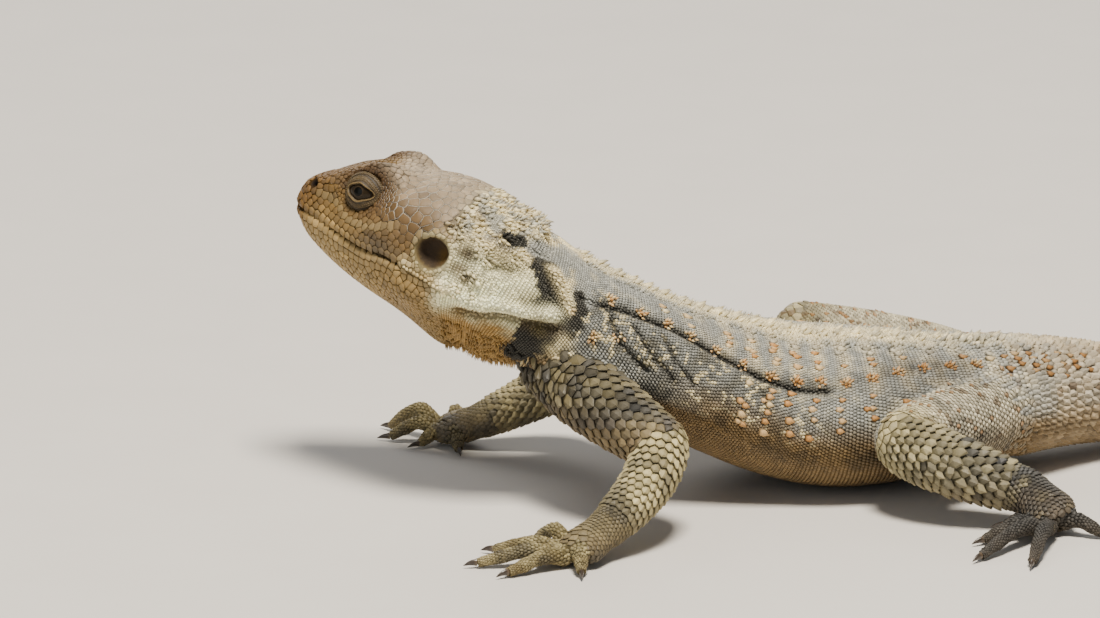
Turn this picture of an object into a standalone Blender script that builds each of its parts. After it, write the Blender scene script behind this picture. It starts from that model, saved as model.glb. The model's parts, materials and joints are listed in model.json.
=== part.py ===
"""A starred agama standing on its forelimbs, life size, in closed solids.

Sizes in this file are millimetres and angles are degrees. write_mesh turns them into metres.
+X points towards the tail, -Y is the animal's left side and +Z is up. The floor is at z = 0.
Shapes are worked out in a working frame whose origin lies on the floor under the belly,
and ORIGIN moves them so that the middle of the whole animal's box is over the file's origin.
"""

import math

import bpy
import bmesh
import numpy as np

MM = 0.001
ORIGIN = np.array([71.36, 16.4, 0.0])
GAP = 0.3

# The head's pose, given at the tip of the snout.
SNOUT = np.array([-70.6, 17.5, 44.4])
HEAD_YAW = 26.0
HEAD_PITCH = 9.0
HEAD_ROLL = 3.0

# Distance back from the snout, height of the centre over the head's axis, half width, rise, drop, squareness.
HEAD_SECTIONS = [
    (0.4, 0.5, 2.4, 2.1, 3.0, 0.95),
    (1.5, 0.2, 3.6, 3.5, 4.3, 0.85),
    (3.6, -0.3, 4.7, 5.2, 5.3, 0.8),
    (6.0, -0.7, 5.6, 7.3, 6.2, 0.78),
    (9.0, -1.1, 6.8, 9.1, 7.2, 0.76),
    (12.7, -1.4, 8.3, 10.3, 8.3, 0.76),
    (17.0, -1.8, 9.9, 11.0, 9.2, 0.8),
    (21.5, -2.0, 11.1, 11.3, 9.9, 0.85),
    (27.5, -2.2, 11.9, 11.3, 10.2, 0.9),
]

# Centre x, y, z, half width, rise, drop, from the nape to the tip of the tail.
BODY_SECTIONS = {
    "nape": (-41.5, 3.2, 36.8, 11.4, 9.9, 9.6),
    "neck_base": (-33.0, 4.4, 30.6, 12.0, 9.1, 9.6),
    "shoulders": (-24.7, 6.0, 25.0, 14.2, 9.4, 9.4),
    "chest": (-15.5, 9.0, 19.9, 16.6, 9.6, 9.8),
    "ribs": (-7.0, 11.2, 15.8, 18.4, 10.4, 10.3),
    "middle": (1.0, 12.8, 13.0, 19.4, 11.0, 11.0),
    "belly": (10.8, 13.8, 11.4, 20.0, 11.3, 11.55),
    "loin": (21.6, 15.4, 11.2, 18.6, 10.6, 10.7),
    "flank": (30.9, 18.2, 11.0, 15.4, 9.5, 9.6),
    "hips": (39.0, 21.4, 10.8, 12.3, 8.8, 8.8),
    "vent": (46.4, 24.8, 10.2, 9.4, 7.9, 7.9),
    "tail_root": (54.0, 28.8, 8.9, 7.8, 7.0, 7.0),
    "tail_fat": (70.0, 37.0, 6.1, 6.3, 5.8, 6.0),
    "tail_lean": (95.0, 45.0, 4.5, 4.9, 4.5, 4.7),
    "tail_third": (120.0, 47.5, 3.6, 3.9, 3.6, 3.8),
    "tail_half": (146.0, 45.0, 2.8, 3.0, 2.8, 3.0),
    "tail_thin": (172.0, 40.0, 2.0, 2.2, 2.05, 2.2),
    "tail_whip": (196.0, 37.0, 1.3, 1.45, 1.35, 1.5),
    "tail_end": (214.0, 37.5, 0.65, 0.65, 0.6, 0.8),
}

# Where the trunk is parted: distance back along the centreline, as a share between two named sections.
HEAD_CUT = ("ear", "nape", 0.75)
NECK_CUT = ("neck_base", "shoulders", 0.25)
VENT_CUT = ("vent", "tail_root", 0.1)
TAIL_CUTS = [("tail_lean", "tail_third", 0.0), ("tail_half", "tail_thin", 0.0)]

# Soft swellings and hollows of the head: centre (back, side, up), reach, push. Each is made on both sides.
HEAD_FORMS = {
    "brow_ridge": ((12.4, 5.4, 9.2), (4.6, 1.9, 2.8), (0.0, 0.9, 2.5)),
    "brow_end": ((16.8, 5.2, 10.6), (2.2, 2.0, 2.6), (0.0, 0.2, 2.0)),
    "brow_notch": ((20.4, 5.4, 9.0), (1.7, 2.6, 2.2), (0.0, 0.0, -0.6)),
    "crown_dip": ((12.0, 0.0, 9.6), (6.0, 2.2, 3.0), (0.0, 0.0, -1.1)),
    "canthus": ((6.2, 4.2, 5.4), (3.4, 1.4, 1.6), (0.0, 0.3, 0.5)),
    "nostril_swell": ((2.6, 3.2, 3.6), (1.7, 1.5, 1.6), (0.0, 0.5, 0.3)),
    "socket": ((13.7, 8.2, 4.9), (4.7, 2.8, 3.4), (0.0, -2.3, 0.0)),
    "chin": ((0.8, 0.0, -3.6), (2.4, 4.0, 1.9), (0.8, 0.0, 0.3)),
    "loreal_hollow": ((7.0, 6.2, 1.8), (2.8, 2.2, 2.2), (0.0, -0.8, 0.0)),
    "cheek_ridge": ((17.0, 9.4, 0.2), (5.0, 2.4, 1.6), (0.0, 0.7, 0.0)),
    "lip_swell": ((11.0, 8.0, -1.6), (8.0, 2.4, 1.4), (0.0, 0.4, 0.0)),
    "temple": ((21.0, 9.0, 4.4), (3.6, 3.0, 2.8), (0.0, 0.7, 0.6)),
    "ear_rim": ((28.6, 11.4, 3.2), (3.6, 2.6, 1.5), (0.0, 0.8, 0.2)),
    "jaw_muscle": ((26.5, 10.6, -6.6), (4.2, 3.6, 2.8), (0.0, 1.5, -0.4)),
    "throat_pouch": ((30.5, 0.0, -13.4), (8.0, 7.0, 5.0), (0.0, 0.0, -4.9)),
    "pit_behind_ear": ((33.6, 12.4, 1.2), (1.6, 2.4, 2.6), (0.0, -1.2, 0.0)),
    "neck_fold_upper": ((36.6, 11.4, 2.6), (2.2, 3.2, 4.4), (0.0, 1.2, 0.0)),
    "neck_fold_lower": ((36.6, 9.6, -8.0), (4.4, 3.8, 3.0), (0.0, 1.5, -0.6)),
}

# The line of the mouth, as (distance back, height over the head's axis).
MOUTH_LINE = [(0.0, -1.1), (5.0, -1.6), (12.0, -2.5), (16.0, -2.9), (19.5, -2.6), (23.5, -3.1)]
MOUTH_CORNER = 23.5
MOUTH_DEPTH = 0.55
LIP_RISE = 0.22
LIP_HALF_WIDTH = 0.55

# Each place in the head is (distance back, side, up) from the tip of the snout.
EYE_CENTRE = (12.7, 5.0, 4.7)
EYE_RADIUS = 2.6
LID_THICKNESS = 0.65
MOUTH_VERTEX = 6
LID_OPENING = (2.15, 1.35)
EAR_CENTRE = (28.3, 12.0, 0.6)
EAR_RADII = (2.8, 1.7, 2.5)
NOSTRIL_CENTRE = (3.1, 4.1, 3.1)
NOSTRIL_RADII = (0.6, 0.9, 0.5)

TURN_WINDOW = 6.0
HEAD_RING_STEP = 1.35
RING_SIDES = 26
TAIL_SIDES = 12
WHORL_LENGTH = 4.6
LIMB_SIDES = 12
UPPER_RINGS = 9
LOWER_RINGS = 9
JOINT_DOME = ((0.5, 0.87), (0.85, 0.5))
DIGIT_SIDES = 6

# Spines, tufts and rosettes of the neck and trunk. Each place is the distance back along the centreline
# and the degrees down from the midline of the back, and each but those of the crest stands on both sides.
SPINE_ROOT = 0.45
CREST_START = 31.0
CREST_END = 118.0
CREST_STEP = 4.3
TUFTS = [
    (29.2, 26.0), (30.0, 50.0), (34.6, 15.0), (34.4, 44.0), (34.8, 70.0),
    (37.6, 28.0), (37.4, 58.0), (40.4, 57.0), (41.6, 69.0), (43.2, 79.0),
]
ROSETTES = [
    (49.6, 44.0), (54.6, 43.0), (59.0, 42.5), (63.2, 45.0), (67.8, 48.0), (73.0, 51.0), (78.6, 53.0),
    (84.2, 51.0), (89.2, 49.0), (93.6, 47.5), (97.8, 44.0), (101.6, 39.0), (105.4, 36.0), (109.4, 35.0),
    (113.6, 34.0), (49.2, 86.0), (52.4, 74.0),
]
FLANK_SPINES = [
    (74.0, 36.0), (79.0, 31.0), (83.6, 28.0), (88.2, 25.0), (92.8, 23.0), (97.4, 21.0), (102.0, 19.0),
    (106.6, 17.0), (111.2, 15.0), (73.6, 81.0), (75.4, 97.0), (77.6, 74.0), (79.4, 97.0), (82.6, 70.0),
    (84.2, 91.0), (87.6, 70.0), (92.2, 68.0), (96.4, 67.0),
]

# Spines on each length of limb: ring of the limb, degrees round it. The first list is for the upper length.
LIMB_SPINES = (
    [(3, 40.0), (4, 90.0), (4, 140.0), (5, 50.0), (6, 100.0), (6, 150.0)],
    [(3, 60.0), (3, 120.0), (4, 90.0), (5, 50.0), (5, 130.0), (6, 90.0), (7, 60.0), (7, 120.0)],
)

# Limbs: root in the trunk, joints and end of the foot's root, each (x, y, z, radius).
LIMBS = {
    "arm_left": {
        "names": ("upper_arm_left", "forearm_left", "hand_left"),
        "path": [
            (-31.5, 2.0, 22.5, 6.2),
            (-27.0, -7.0, 19.6, 5.6),
            (-21.0, -13.2, 16.6, 4.9),
            (-15.6, -17.2, 14.0, 4.2),
            (-17.0, -22.2, 10.8, 3.8),
            (-20.2, -26.6, 7.4, 3.4),
            (-23.6, -30.0, 4.8, 3.0),
        ],
        "joint": 3,
        "palm": (-28.0, -33.6, 2.5),
        "palm_size": (4.0, 2.3),
    },
    "arm_right": {
        "names": ("upper_arm_right", "forearm_right", "hand_right"),
        "path": [
            (-31.0, 8.0, 21.5, 6.0),
            (-28.6, 16.4, 18.4, 5.4),
            (-27.0, 22.0, 15.4, 4.7),
            (-28.4, 25.8, 12.6, 4.0),
            (-32.4, 27.6, 10.0, 3.7),
            (-37.6, 28.3, 7.0, 3.2),
            (-42.6, 28.4, 4.6, 2.8),
        ],
        "joint": 3,
        "palm": (-47.6, 30.0, 2.5),
        "palm_size": (4.0, 2.3),
    },
    "leg_left": {
        "names": ("thigh_left", "shank_left", "foot_left"),
        "path": [
            (38.6, 16.0, 10.6, 7.4),
            (32.9, 6.8, 11.2, 6.6),
            (27.2, -1.6, 11.8, 5.7),
            (22.2, -7.2, 11.6, 4.8),
            (27.0, -10.8, 9.8, 4.5),
            (33.6, -12.6, 7.6, 3.9),
            (40.6, -13.8, 5.6, 3.3),
        ],
        "joint": 3,
        "palm": (44.4, -17.4, 3.2),
        "palm_size": (4.0, 2.9),
    },
    "leg_right": {
        "names": ("thigh_right", "shank_right", "foot_right"),
        "path": [
            (34.5, 24.0, 10.8, 7.4),
            (25.6, 31.2, 13.0, 6.4),
            (16.0, 35.6, 14.8, 5.4),
            (7.4, 38.6, 16.0, 4.6),
            (10.6, 43.6, 12.8, 4.3),
            (18.0, 47.8, 8.8, 3.7),
            (24.6, 50.6, 5.8, 3.2),
        ],
        "joint": 3,
        "palm": (28.2, 55.4, 3.2),
        "palm_size": (4.0, 2.9),
    },
}

# Digits, first to fifth: where each claw's tip touches down (x, y), and how high the digit arches.
DIGITS = {
    "arm_left": [
        (-36.4, -23.6, 4.2),
        (-43.0, -27.6, 2.7),
        (-45.6, -35.6, 2.5),
        (-40.6, -41.4, 2.3),
        (-27.6, -42.4, 2.6),
    ],
    "arm_right": [
        (-46.4, 22.0, 2.6),
        (-54.8, 26.8, 2.6),
        (-59.6, 32.0, 3.4),
        (-59.2, 38.8, 4.6),
        (-46.8, 39.8, 4.2),
    ],
    "leg_left": [
        (35.0, -15.6, 2.6),
        (31.8, -24.6, 2.6),
        (31.6, -33.6, 2.8),
        (40.2, -37.2, 3.0),
        (54.0, -21.2, 2.6),
    ],
    "leg_right": [
        (18.8, 53.6, 2.6),
        (15.6, 62.6, 2.6),
        (15.4, 71.6, 2.8),
        (24.0, 75.2, 3.0),
        (37.8, 59.2, 2.6),
    ],
}
DIGIT_RADII = (1.35, 1.05, 0.9, 0.62)
DIGIT_SHARES = (0.18, 0.5, 0.8, 1.0)
CLAW_STEPS = (0.45, 0.8)
DIGIT_FLOOR = 0.08
DIGIT_FLOOR_STEP = 0.03
CLAW_LENGTH = 2.1
CLAW_RADIUS = 0.55
CLAW_TIP_HEIGHT = 0.4


def unit(v):
    """v at length 1, for one vector or a row of them."""
    v = np.asarray(v, float)
    return v / np.linalg.norm(v, axis=-1, keepdims=True)


def through(knots, values, at):
    """A smooth curve through values at knots, read at each of at."""
    knots = np.asarray(knots, float)
    values = np.asarray(values, float)
    at = np.asarray(at, float)
    slopes = np.gradient(values, knots, axis=0)
    i = np.clip(np.searchsorted(knots, at, side="right") - 1, 0, len(knots) - 2)
    step = knots[i + 1] - knots[i]
    t = (at - knots[i]) / step
    if values.ndim > 1:
        step, t = step[..., None], t[..., None]
    a = (1 + 2 * t) * (1 - t) ** 2
    b = t * (1 - t) ** 2
    c = t * t * (3 - 2 * t)
    d = t * t * (t - 1)
    return a * values[i] + b * step * slopes[i] + c * values[i + 1] + d * step * slopes[i + 1]


def head_axes():
    """Unit vectors of the head: forward, towards its left, and up."""
    yaw, pitch, roll = (math.radians(v) for v in (HEAD_YAW, HEAD_PITCH, HEAD_ROLL))
    forward = np.array([-math.cos(yaw) * math.cos(pitch), math.sin(yaw) * math.cos(pitch), math.sin(pitch)])
    left = np.array([-math.sin(yaw), -math.cos(yaw), 0.0])
    up = np.cross(forward, left)
    return forward, left * math.cos(roll) + up * math.sin(roll), up * math.cos(roll) - left * math.sin(roll)


FORWARD, LEFT, UP = head_axes()


def in_head(points):
    """Points as (distance back, side, up) from the tip of the snout."""
    d = np.asarray(points, float) - SNOUT
    return np.stack([-(d @ FORWARD), d @ LEFT, d @ UP], axis=-1)


def from_head(back, side, up):
    """A place in the head, as a point."""
    return SNOUT - back * FORWARD + side * LEFT + up * UP


def trunk_sections():
    """Names, distances along the centreline, and places with sizes of every section.

    Each row is x, y, z, half width, rise, drop, squareness and roll.
    """
    names, rows = [], []
    for back, height, width, rise, drop, square in HEAD_SECTIONS:
        names.append(f"head_{back:g}")
        rows.append([*from_head(back, 0.0, height), width, rise, drop, square, HEAD_ROLL])
    names[-1] = "ear"
    for name, row in BODY_SECTIONS.items():
        names.append(name)
        rows.append([*row, 0.95, 3.0 if name == "nape" else 0.0])
    rows = np.array(rows)
    along = np.concatenate([[0.5], 0.5 + np.cumsum(np.linalg.norm(np.diff(rows[:, :3], axis=0), axis=1))])
    return names, along, rows


NAMES, ALONG, ROWS = trunk_sections()


def station(first, second, share):
    """The distance along the centreline that lies between two named sections."""
    a, b = ALONG[NAMES.index(first)], ALONG[NAMES.index(second)]
    return a + (b - a) * share


def frames(along):
    """Centre, tangent, left and up of the trunk at each distance along its centreline, with its sizes."""
    along = np.atleast_1d(np.asarray(along, float))
    row = through(ALONG, ROWS, along)
    ahead = through(ALONG, ROWS[:, :3], np.minimum(along + TURN_WINDOW, ALONG[-1]))
    behind = through(ALONG, ROWS[:, :3], np.maximum(along - TURN_WINDOW, ALONG[0]))
    tangent = unit(ahead - behind)
    left = unit(np.cross(tangent, [0.0, 0.0, 1.0]))
    up = np.cross(left, tangent)
    roll = np.radians(row[:, 7])[:, None]
    return row, tangent, left * np.cos(roll) + up * np.sin(roll), up * np.cos(roll) - left * np.sin(roll)


def rounded(value, power):
    """A sine or cosine squared off by power, for a boxier section."""
    return np.sign(value) * np.abs(value) ** power


def swell(points):
    """Points of the trunk with the head's swellings and hollows pushed in or out."""
    local = in_head(points)
    moved = np.array(points, float)
    sign = np.where(local[..., 1] < 0, -1.0, 1.0)
    for centre, reach, push in HEAD_FORMS.values():
        offset = np.stack([local[..., 0], np.abs(local[..., 1]), local[..., 2]], axis=-1) - centre
        weight = np.exp(-((offset / reach) ** 2).sum(-1))[..., None]
        shift = -push[0] * FORWARD + push[2] * UP + (sign * push[1])[..., None] * LEFT
        moved += weight * shift
    return moved


def ring(along, angles, grow=0.0, flare=1.0):
    """The trunk's rings at these distances, each with its own angles, after the swellings."""
    row, tangent, left, up = frames(along)
    angles = np.broadcast_to(angles, (len(row), np.shape(angles)[-1]))
    cosine, sine = np.cos(angles), np.sin(angles)
    power = row[:, 6][:, None]
    width = rounded(cosine, power) * (row[:, 3][:, None] * flare + grow)
    reach = np.where(sine > 0, row[:, 4][:, None], row[:, 5][:, None])
    height = rounded(sine, power) * (reach * flare + grow)
    points = row[:, None, :3] + width[..., None] * left[:, None] + height[..., None] * up[:, None]
    points = swell(points)
    points[..., 2] = np.maximum(points[..., 2], 0.0)
    return points


def even_angles(sides):
    """Angles round a section, from its left side over the back."""
    return np.arange(sides) * 2 * math.pi / sides


def write_mesh(name, points, faces, colour, roughness=0.8):
    """A named object in metres, with its own material, faces outwards."""
    mesh = bpy.data.meshes.new(name)
    mesh.from_pydata([tuple((np.asarray(p) - ORIGIN) * MM) for p in points], [], faces)
    shape = bmesh.new()
    shape.from_mesh(mesh)
    bmesh.ops.recalc_face_normals(shape, faces=shape.faces)
    shape.to_mesh(mesh)
    shape.free()
    obj = bpy.data.objects.new(name, mesh)
    bpy.context.scene.collection.objects.link(obj)
    obj.data.materials.append(skin_material(name, colour, roughness))
    mesh.shade_smooth()
    mesh.set_sharp_from_angle(angle=math.radians(40))
    return obj


def skin_material(name, colour, roughness):
    """A Principled material of one colour."""
    material = bpy.data.materials.new(name)
    material.use_nodes = True
    shader = material.node_tree.nodes["Principled BSDF"]
    shader.inputs["Base Color"].default_value = (*colour, 1.0)
    shader.inputs["Roughness"].default_value = roughness
    return material


def tube(rings, start=None, end=None):
    """Points and faces of a closed tube through rings, its ends drawn to a point or closed by a fan."""
    rings = [np.asarray(r) for r in rings]
    sides = len(rings[0])
    points = np.concatenate(rings)
    faces = []
    for i in range(len(rings) - 1):
        for j in range(sides):
            k = (j + 1) % sides
            a, b = i * sides + j, i * sides + k
            c, d = (i + 1) * sides + k, (i + 1) * sides + j
            faces += [(a, b, c), (a, c, d)]
    first = rings[0].mean(0) if start is None else np.asarray(start)
    last = rings[-1].mean(0) if end is None else np.asarray(end)
    points = np.concatenate([points, [first, last]])
    head, tail = len(points) - 2, len(points) - 1
    final = (len(rings) - 1) * sides
    for j in range(sides):
        k = (j + 1) % sides
        faces.append((head, k, j))
        faces.append((tail, final + j, final + k))
    return points, faces


def trunk_length(start, end, step, angles, grow=0.0):
    """Rings of the trunk between two cuts. angles is an array, or a function of the distance along."""
    count = max(2, int(round((end - start) / step)) + 1)
    along = np.linspace(start, end, count)
    return along, ring(along, angles(along) if callable(angles) else angles, grow)


def part_ends(along, rings, first=True, last=True):
    """Moves the end rings of a length of trunk half of the gap away from its neighbours."""
    _, tangent, _, _ = frames(along[[0, -1]])
    rings = np.array(rings)
    if first:
        rings[0] += tangent[0] * GAP / 2
    if last:
        rings[-1] -= tangent[1] * GAP / 2
    return rings


def mouth_height(back):
    """Height of the mouth line over the head's axis."""
    knots, heights = zip(*MOUTH_LINE)
    return through(knots, heights, np.clip(back, 0.0, MOUTH_CORNER))


def head_angles(along):
    """Angles for each ring of the head, with three close together on each side where the mouth runs."""
    row, _, _, _ = frames(along)
    back = in_head(row[:, :3])[:, 0]
    drop = row[:, 5]
    centre_height = in_head(row[:, :3])[:, 2]
    sine = np.clip((mouth_height(back) - centre_height) / drop, -0.7, -0.05)
    mouth = -np.arcsin(np.abs(sine) ** (1 / row[:, 6]))
    lip = np.minimum(LIP_HALF_WIDTH / drop, 0.22)
    rows = []
    for m, d in zip(mouth, lip):
        lower = np.linspace(-math.pi / 2, m - d, 6)
        upper = np.linspace(m + d, math.pi / 2, 9)
        left = np.concatenate([lower, [m], upper])
        right = math.pi - left[::-1]
        rows.append(np.concatenate([left[:-1], right[:-1]]))
    return np.array(rows)


def neck_angles(along):
    """Angles of the head's last ring, spread out evenly within the first part of the neck."""
    first = head_angles(along[:1])
    even = even_angles(first.shape[1]) - math.pi / 2
    share = np.clip((along - along[0]) / 8.0, 0.0, 1.0)[:, None]
    return first * (1 - share) + even * share


def build_head():
    """The head from the snout to behind the jaw, with its mouth line, lids, ears and nostrils."""
    end = station(*HEAD_CUT)
    along = np.concatenate([[0.5, 1.1], np.linspace(1.8, end, int((end - 1.8) / HEAD_RING_STEP) + 1)])
    angles = head_angles(along)
    rings = ring(along, angles)
    back = in_head(rings.mean(1))[:, 0]
    sides = rings.shape[1]
    for i, b in enumerate(back):
        if b > MOUTH_CORNER:
            continue
        for v in (MOUTH_VERTEX, sides - MOUTH_VERTEX - 2):
            outward = unit(rings[i, v] - rings[i].mean(0))
            rings[i, v] -= outward * MOUTH_DEPTH
            for w in (v - 1, v + 1):
                rings[i, w] += outward * LIP_RISE
    rings = part_ends(along, rings, first=False)
    head = write_mesh("head", *tube(rings, start=from_head(0.0, 0.0, 0.3)), (0.42, 0.33, 0.2))
    lids, cutters = [], []
    for side in (1, -1):
        back, out, up = EYE_CENTRE
        centre = from_head(back, side * out, up)
        lids.append(ball("lid", centre, EYE_RADIUS + GAP + LID_THICKNESS, 16, 10))
        cutters.append(ball("socket", centre, EYE_RADIUS + GAP, 14, 9))
        cutters.append(lid_slit(centre, side))
        cutters.append(ellipsoid("ear", place(EAR_CENTRE, side), EAR_RADII, 14, 9))
        cutters.append(ellipsoid("nostril", place(NOSTRIL_CENTRE, side), NOSTRIL_RADII, 7, 5))
        write_eye("eye_left" if side > 0 else "eye_right", centre)
    combine(head, lids + trunk_spines(0.0, end), "UNION")
    combine(head, cutters, "DIFFERENCE")
    return head


def place(spot, side):
    """A place in the head on its left (side 1) or right (side -1)."""
    return from_head(spot[0], side * spot[1], spot[2])


def ellipsoid(name, centre, radii, sides, bands):
    """A closed ball stretched along the head's axes, as points and faces in a loose object."""
    rings = []
    for i in range(1, bands):
        polar = math.pi * i / bands
        turn = even_angles(sides)
        rings.append(
            centre
            + np.outer(np.cos(turn) * math.sin(polar) * radii[0], -FORWARD)
            + np.outer(np.sin(turn) * math.sin(polar) * radii[2], UP)
            + math.cos(polar) * radii[1] * LEFT
        )
    start, end = centre + radii[1] * LEFT, centre - radii[1] * LEFT
    return write_mesh(name, *tube(rings, start, end), (0.2, 0.2, 0.2))


def ball(name, centre, radius, sides, bands):
    """A closed ball."""
    return ellipsoid(name, centre, (radius,) * 3, sides, bands)


def write_eye(name, centre):
    """One eyeball, in its socket behind the lids."""
    eye = ball(name, centre, EYE_RADIUS, 14, 8)
    eye.data.materials[0].node_tree.nodes["Principled BSDF"].inputs["Roughness"].default_value = 0.15


def lid_slit(centre, side):
    """The almond opening between the lids, as a prism that points out of the head."""
    half_length, half_height = LID_OPENING
    corners = []
    count = 5
    for sign in (1, -1):
        for i in range(count):
            t = -1 + 2 * i / count
            corners.append((sign * t * half_length, sign * (1 - t * t) * half_height))
    gaze = unit(side * LEFT + 0.12 * FORWARD + 0.2 * UP)
    along = unit(-FORWARD + gaze * (FORWARD @ gaze))
    above = unit(UP - gaze * (UP @ gaze))
    outline = [centre + x * along + z * above for x, z in corners]
    inner = [p + gaze * EYE_RADIUS * 0.5 for p in outline]
    outer = [p + gaze * EYE_RADIUS * 2.2 for p in outline]
    return write_mesh("slit", *tube([inner, outer]), (0.2, 0.2, 0.2))


def combine(base, others, operation):
    """Joins or cuts base by a collection of closed objects, then removes them."""
    if not others:
        return
    group = bpy.data.collections.new("operands")
    bpy.context.scene.collection.children.link(group)
    for other in others:
        group.objects.link(other)
        bpy.context.scene.collection.objects.unlink(other)
    modifier = base.modifiers.new("combine", "BOOLEAN")
    modifier.operation = operation
    modifier.solver = "MANIFOLD"
    modifier.operand_type = "COLLECTION"
    modifier.collection = group
    apply_modifiers(base)
    for other in others:
        bpy.data.objects.remove(other)
    bpy.data.collections.remove(group)
    keep_largest(base)


def apply_modifiers(obj):
    """Replaces an object's mesh with what its modifiers make of it."""
    graph = bpy.context.evaluated_depsgraph_get()
    graph.update()
    made = bpy.data.meshes.new_from_object(obj.evaluated_get(graph))
    obj.modifiers.clear()
    obj.data = made


def keep_largest(obj):
    """Leaves only the largest closed surface of a mesh."""
    shape = bmesh.new()
    shape.from_mesh(obj.data)
    bmesh.ops.triangulate(shape, faces=shape.faces)
    left, groups = set(shape.faces), []
    while left:
        stack = [left.pop()]
        group = list(stack)
        while stack:
            for edge in stack.pop().edges:
                for face in edge.link_faces:
                    if face in left:
                        left.remove(face)
                        stack.append(face)
                        group.append(face)
        groups.append(group)
    groups.sort(key=len)
    loose = [face for group in groups[:-1] for face in group]
    bmesh.ops.delete(shape, geom=loose, context="FACES")
    shape.to_mesh(obj.data)
    shape.free()


def build_tail(name, start, end, colour, last=True):
    """A length of tail in whorls of keeled scales, each whorl flared at its rear edge."""
    count = int(round((end - start) / WHORL_LENGTH))
    edges = np.linspace(start, end, count + 1)
    length = edges[1] - edges[0]
    along = np.sort(np.concatenate([edges, edges[1:-1] + length * 0.12]))
    flare = np.ones((len(along), TAIL_SIDES))
    flare[1:-1:2] = np.where(np.arange(TAIL_SIDES) % 2 == 0, 1.13, 1.03)
    flare[2:-1:2] = 0.96
    rings = part_ends(along, ring(along, even_angles(TAIL_SIDES), flare=flare), last=last)
    tip = None if last else rings[-1].mean(0) + frames(along[-1:])[1][0] * 0.6
    return write_mesh(name, *tube(rings, end=tip), colour)


def build_length(name, start, end, step, angles, colour):
    """A plain length of the trunk between two cuts."""
    along, rings = trunk_length(start, end, step, angles)
    return write_mesh(name, *tube(part_ends(along, rings)), colour)


def limb_frames(path):
    """Tangents and two cross vectors along a path, carried from one point to the next without twist."""
    tangent = unit(np.gradient(path, axis=0))
    side = unit(np.cross(tangent[0], [0.0, 0.0, 1.0]))
    sides = []
    for t in tangent:
        side = unit(side - t * (side @ t))
        sides.append(side)
    sides = np.array(sides)
    return tangent, sides, np.cross(sides, tangent)


def pipe_rings(path, radii, sides, floor=0.0):
    """Rings of a round pipe along a path, none of it lower than floor."""
    path = np.asarray(path, float)
    _, side, up = limb_frames(path)
    turn = even_angles(sides)
    rings = []
    for p, r, a, b in zip(path, radii, side, up):
        points = p + np.outer(np.cos(turn) * r, a) + np.outer(np.sin(turn) * r, b)
        points[:, 2] = np.maximum(points[:, 2], floor)
        rings.append(points)
    return rings


def limb_rows(path, count):
    """Centres and radii at even distances along a path."""
    path = np.array(path)
    knots = np.concatenate([[0.0], np.cumsum(np.linalg.norm(np.diff(path[:, :3], axis=0), axis=1))])
    return through(knots, path, np.linspace(0.0, knots[-1], count))


def upper_rows(limb):
    """Centres and radii of the upper length, rounded off past its knee or elbow."""
    rows = limb_rows(limb["path"][: limb["joint"] + 1], UPPER_RINGS)
    ahead = unit(rows[-1, :3] - rows[-2, :3])
    radius = rows[-1, 3]
    dome = [[*(rows[-1, :3] + ahead * radius * reach), radius * share] for reach, share in JOINT_DOME]
    return np.concatenate([rows, dome])


def lower_rows(limb):
    """Centres and radii from inside the knee or elbow to the wrist or ankle, and on to the knuckles."""
    rows = limb_rows(limb["path"][limb["joint"] :], LOWER_RINGS)
    rows[0, 3] *= 0.8
    wrist, sole = rows[-1], np.array(limb["palm"])
    width, height = limb["palm_size"]
    front = sole + unit(sole - wrist[:3]) * 2.2
    foot = [
        [*(wrist[:3] * 0.7 + sole * 0.3), wrist[3]],
        [*(wrist[:3] * 0.35 + sole * 0.65), (wrist[3] + width) / 2],
        [*sole, width],
        [*front[:2], height * 0.8, width * 0.7],
    ]
    return np.concatenate([rows, foot])


def limb_spines(rows, places):
    """Spiny scales on the upper side of one length of limb, which lean towards the foot."""
    tangent, side, up = limb_frames(rows[:, :3])
    made = []
    for index, angle in places:
        turn = math.radians(angle)
        outward = side[index] * math.cos(turn) + up[index] * math.sin(turn)
        if outward[2] < -0.3:
            outward = side[index] * math.cos(turn) - up[index] * math.sin(turn)
        spot = rows[index, :3] + outward * rows[index, 3] * 0.97
        made.append(cone(spot, outward, tangent[index] * 1.1, 1.0, 0.7, 4))
    return made


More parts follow.
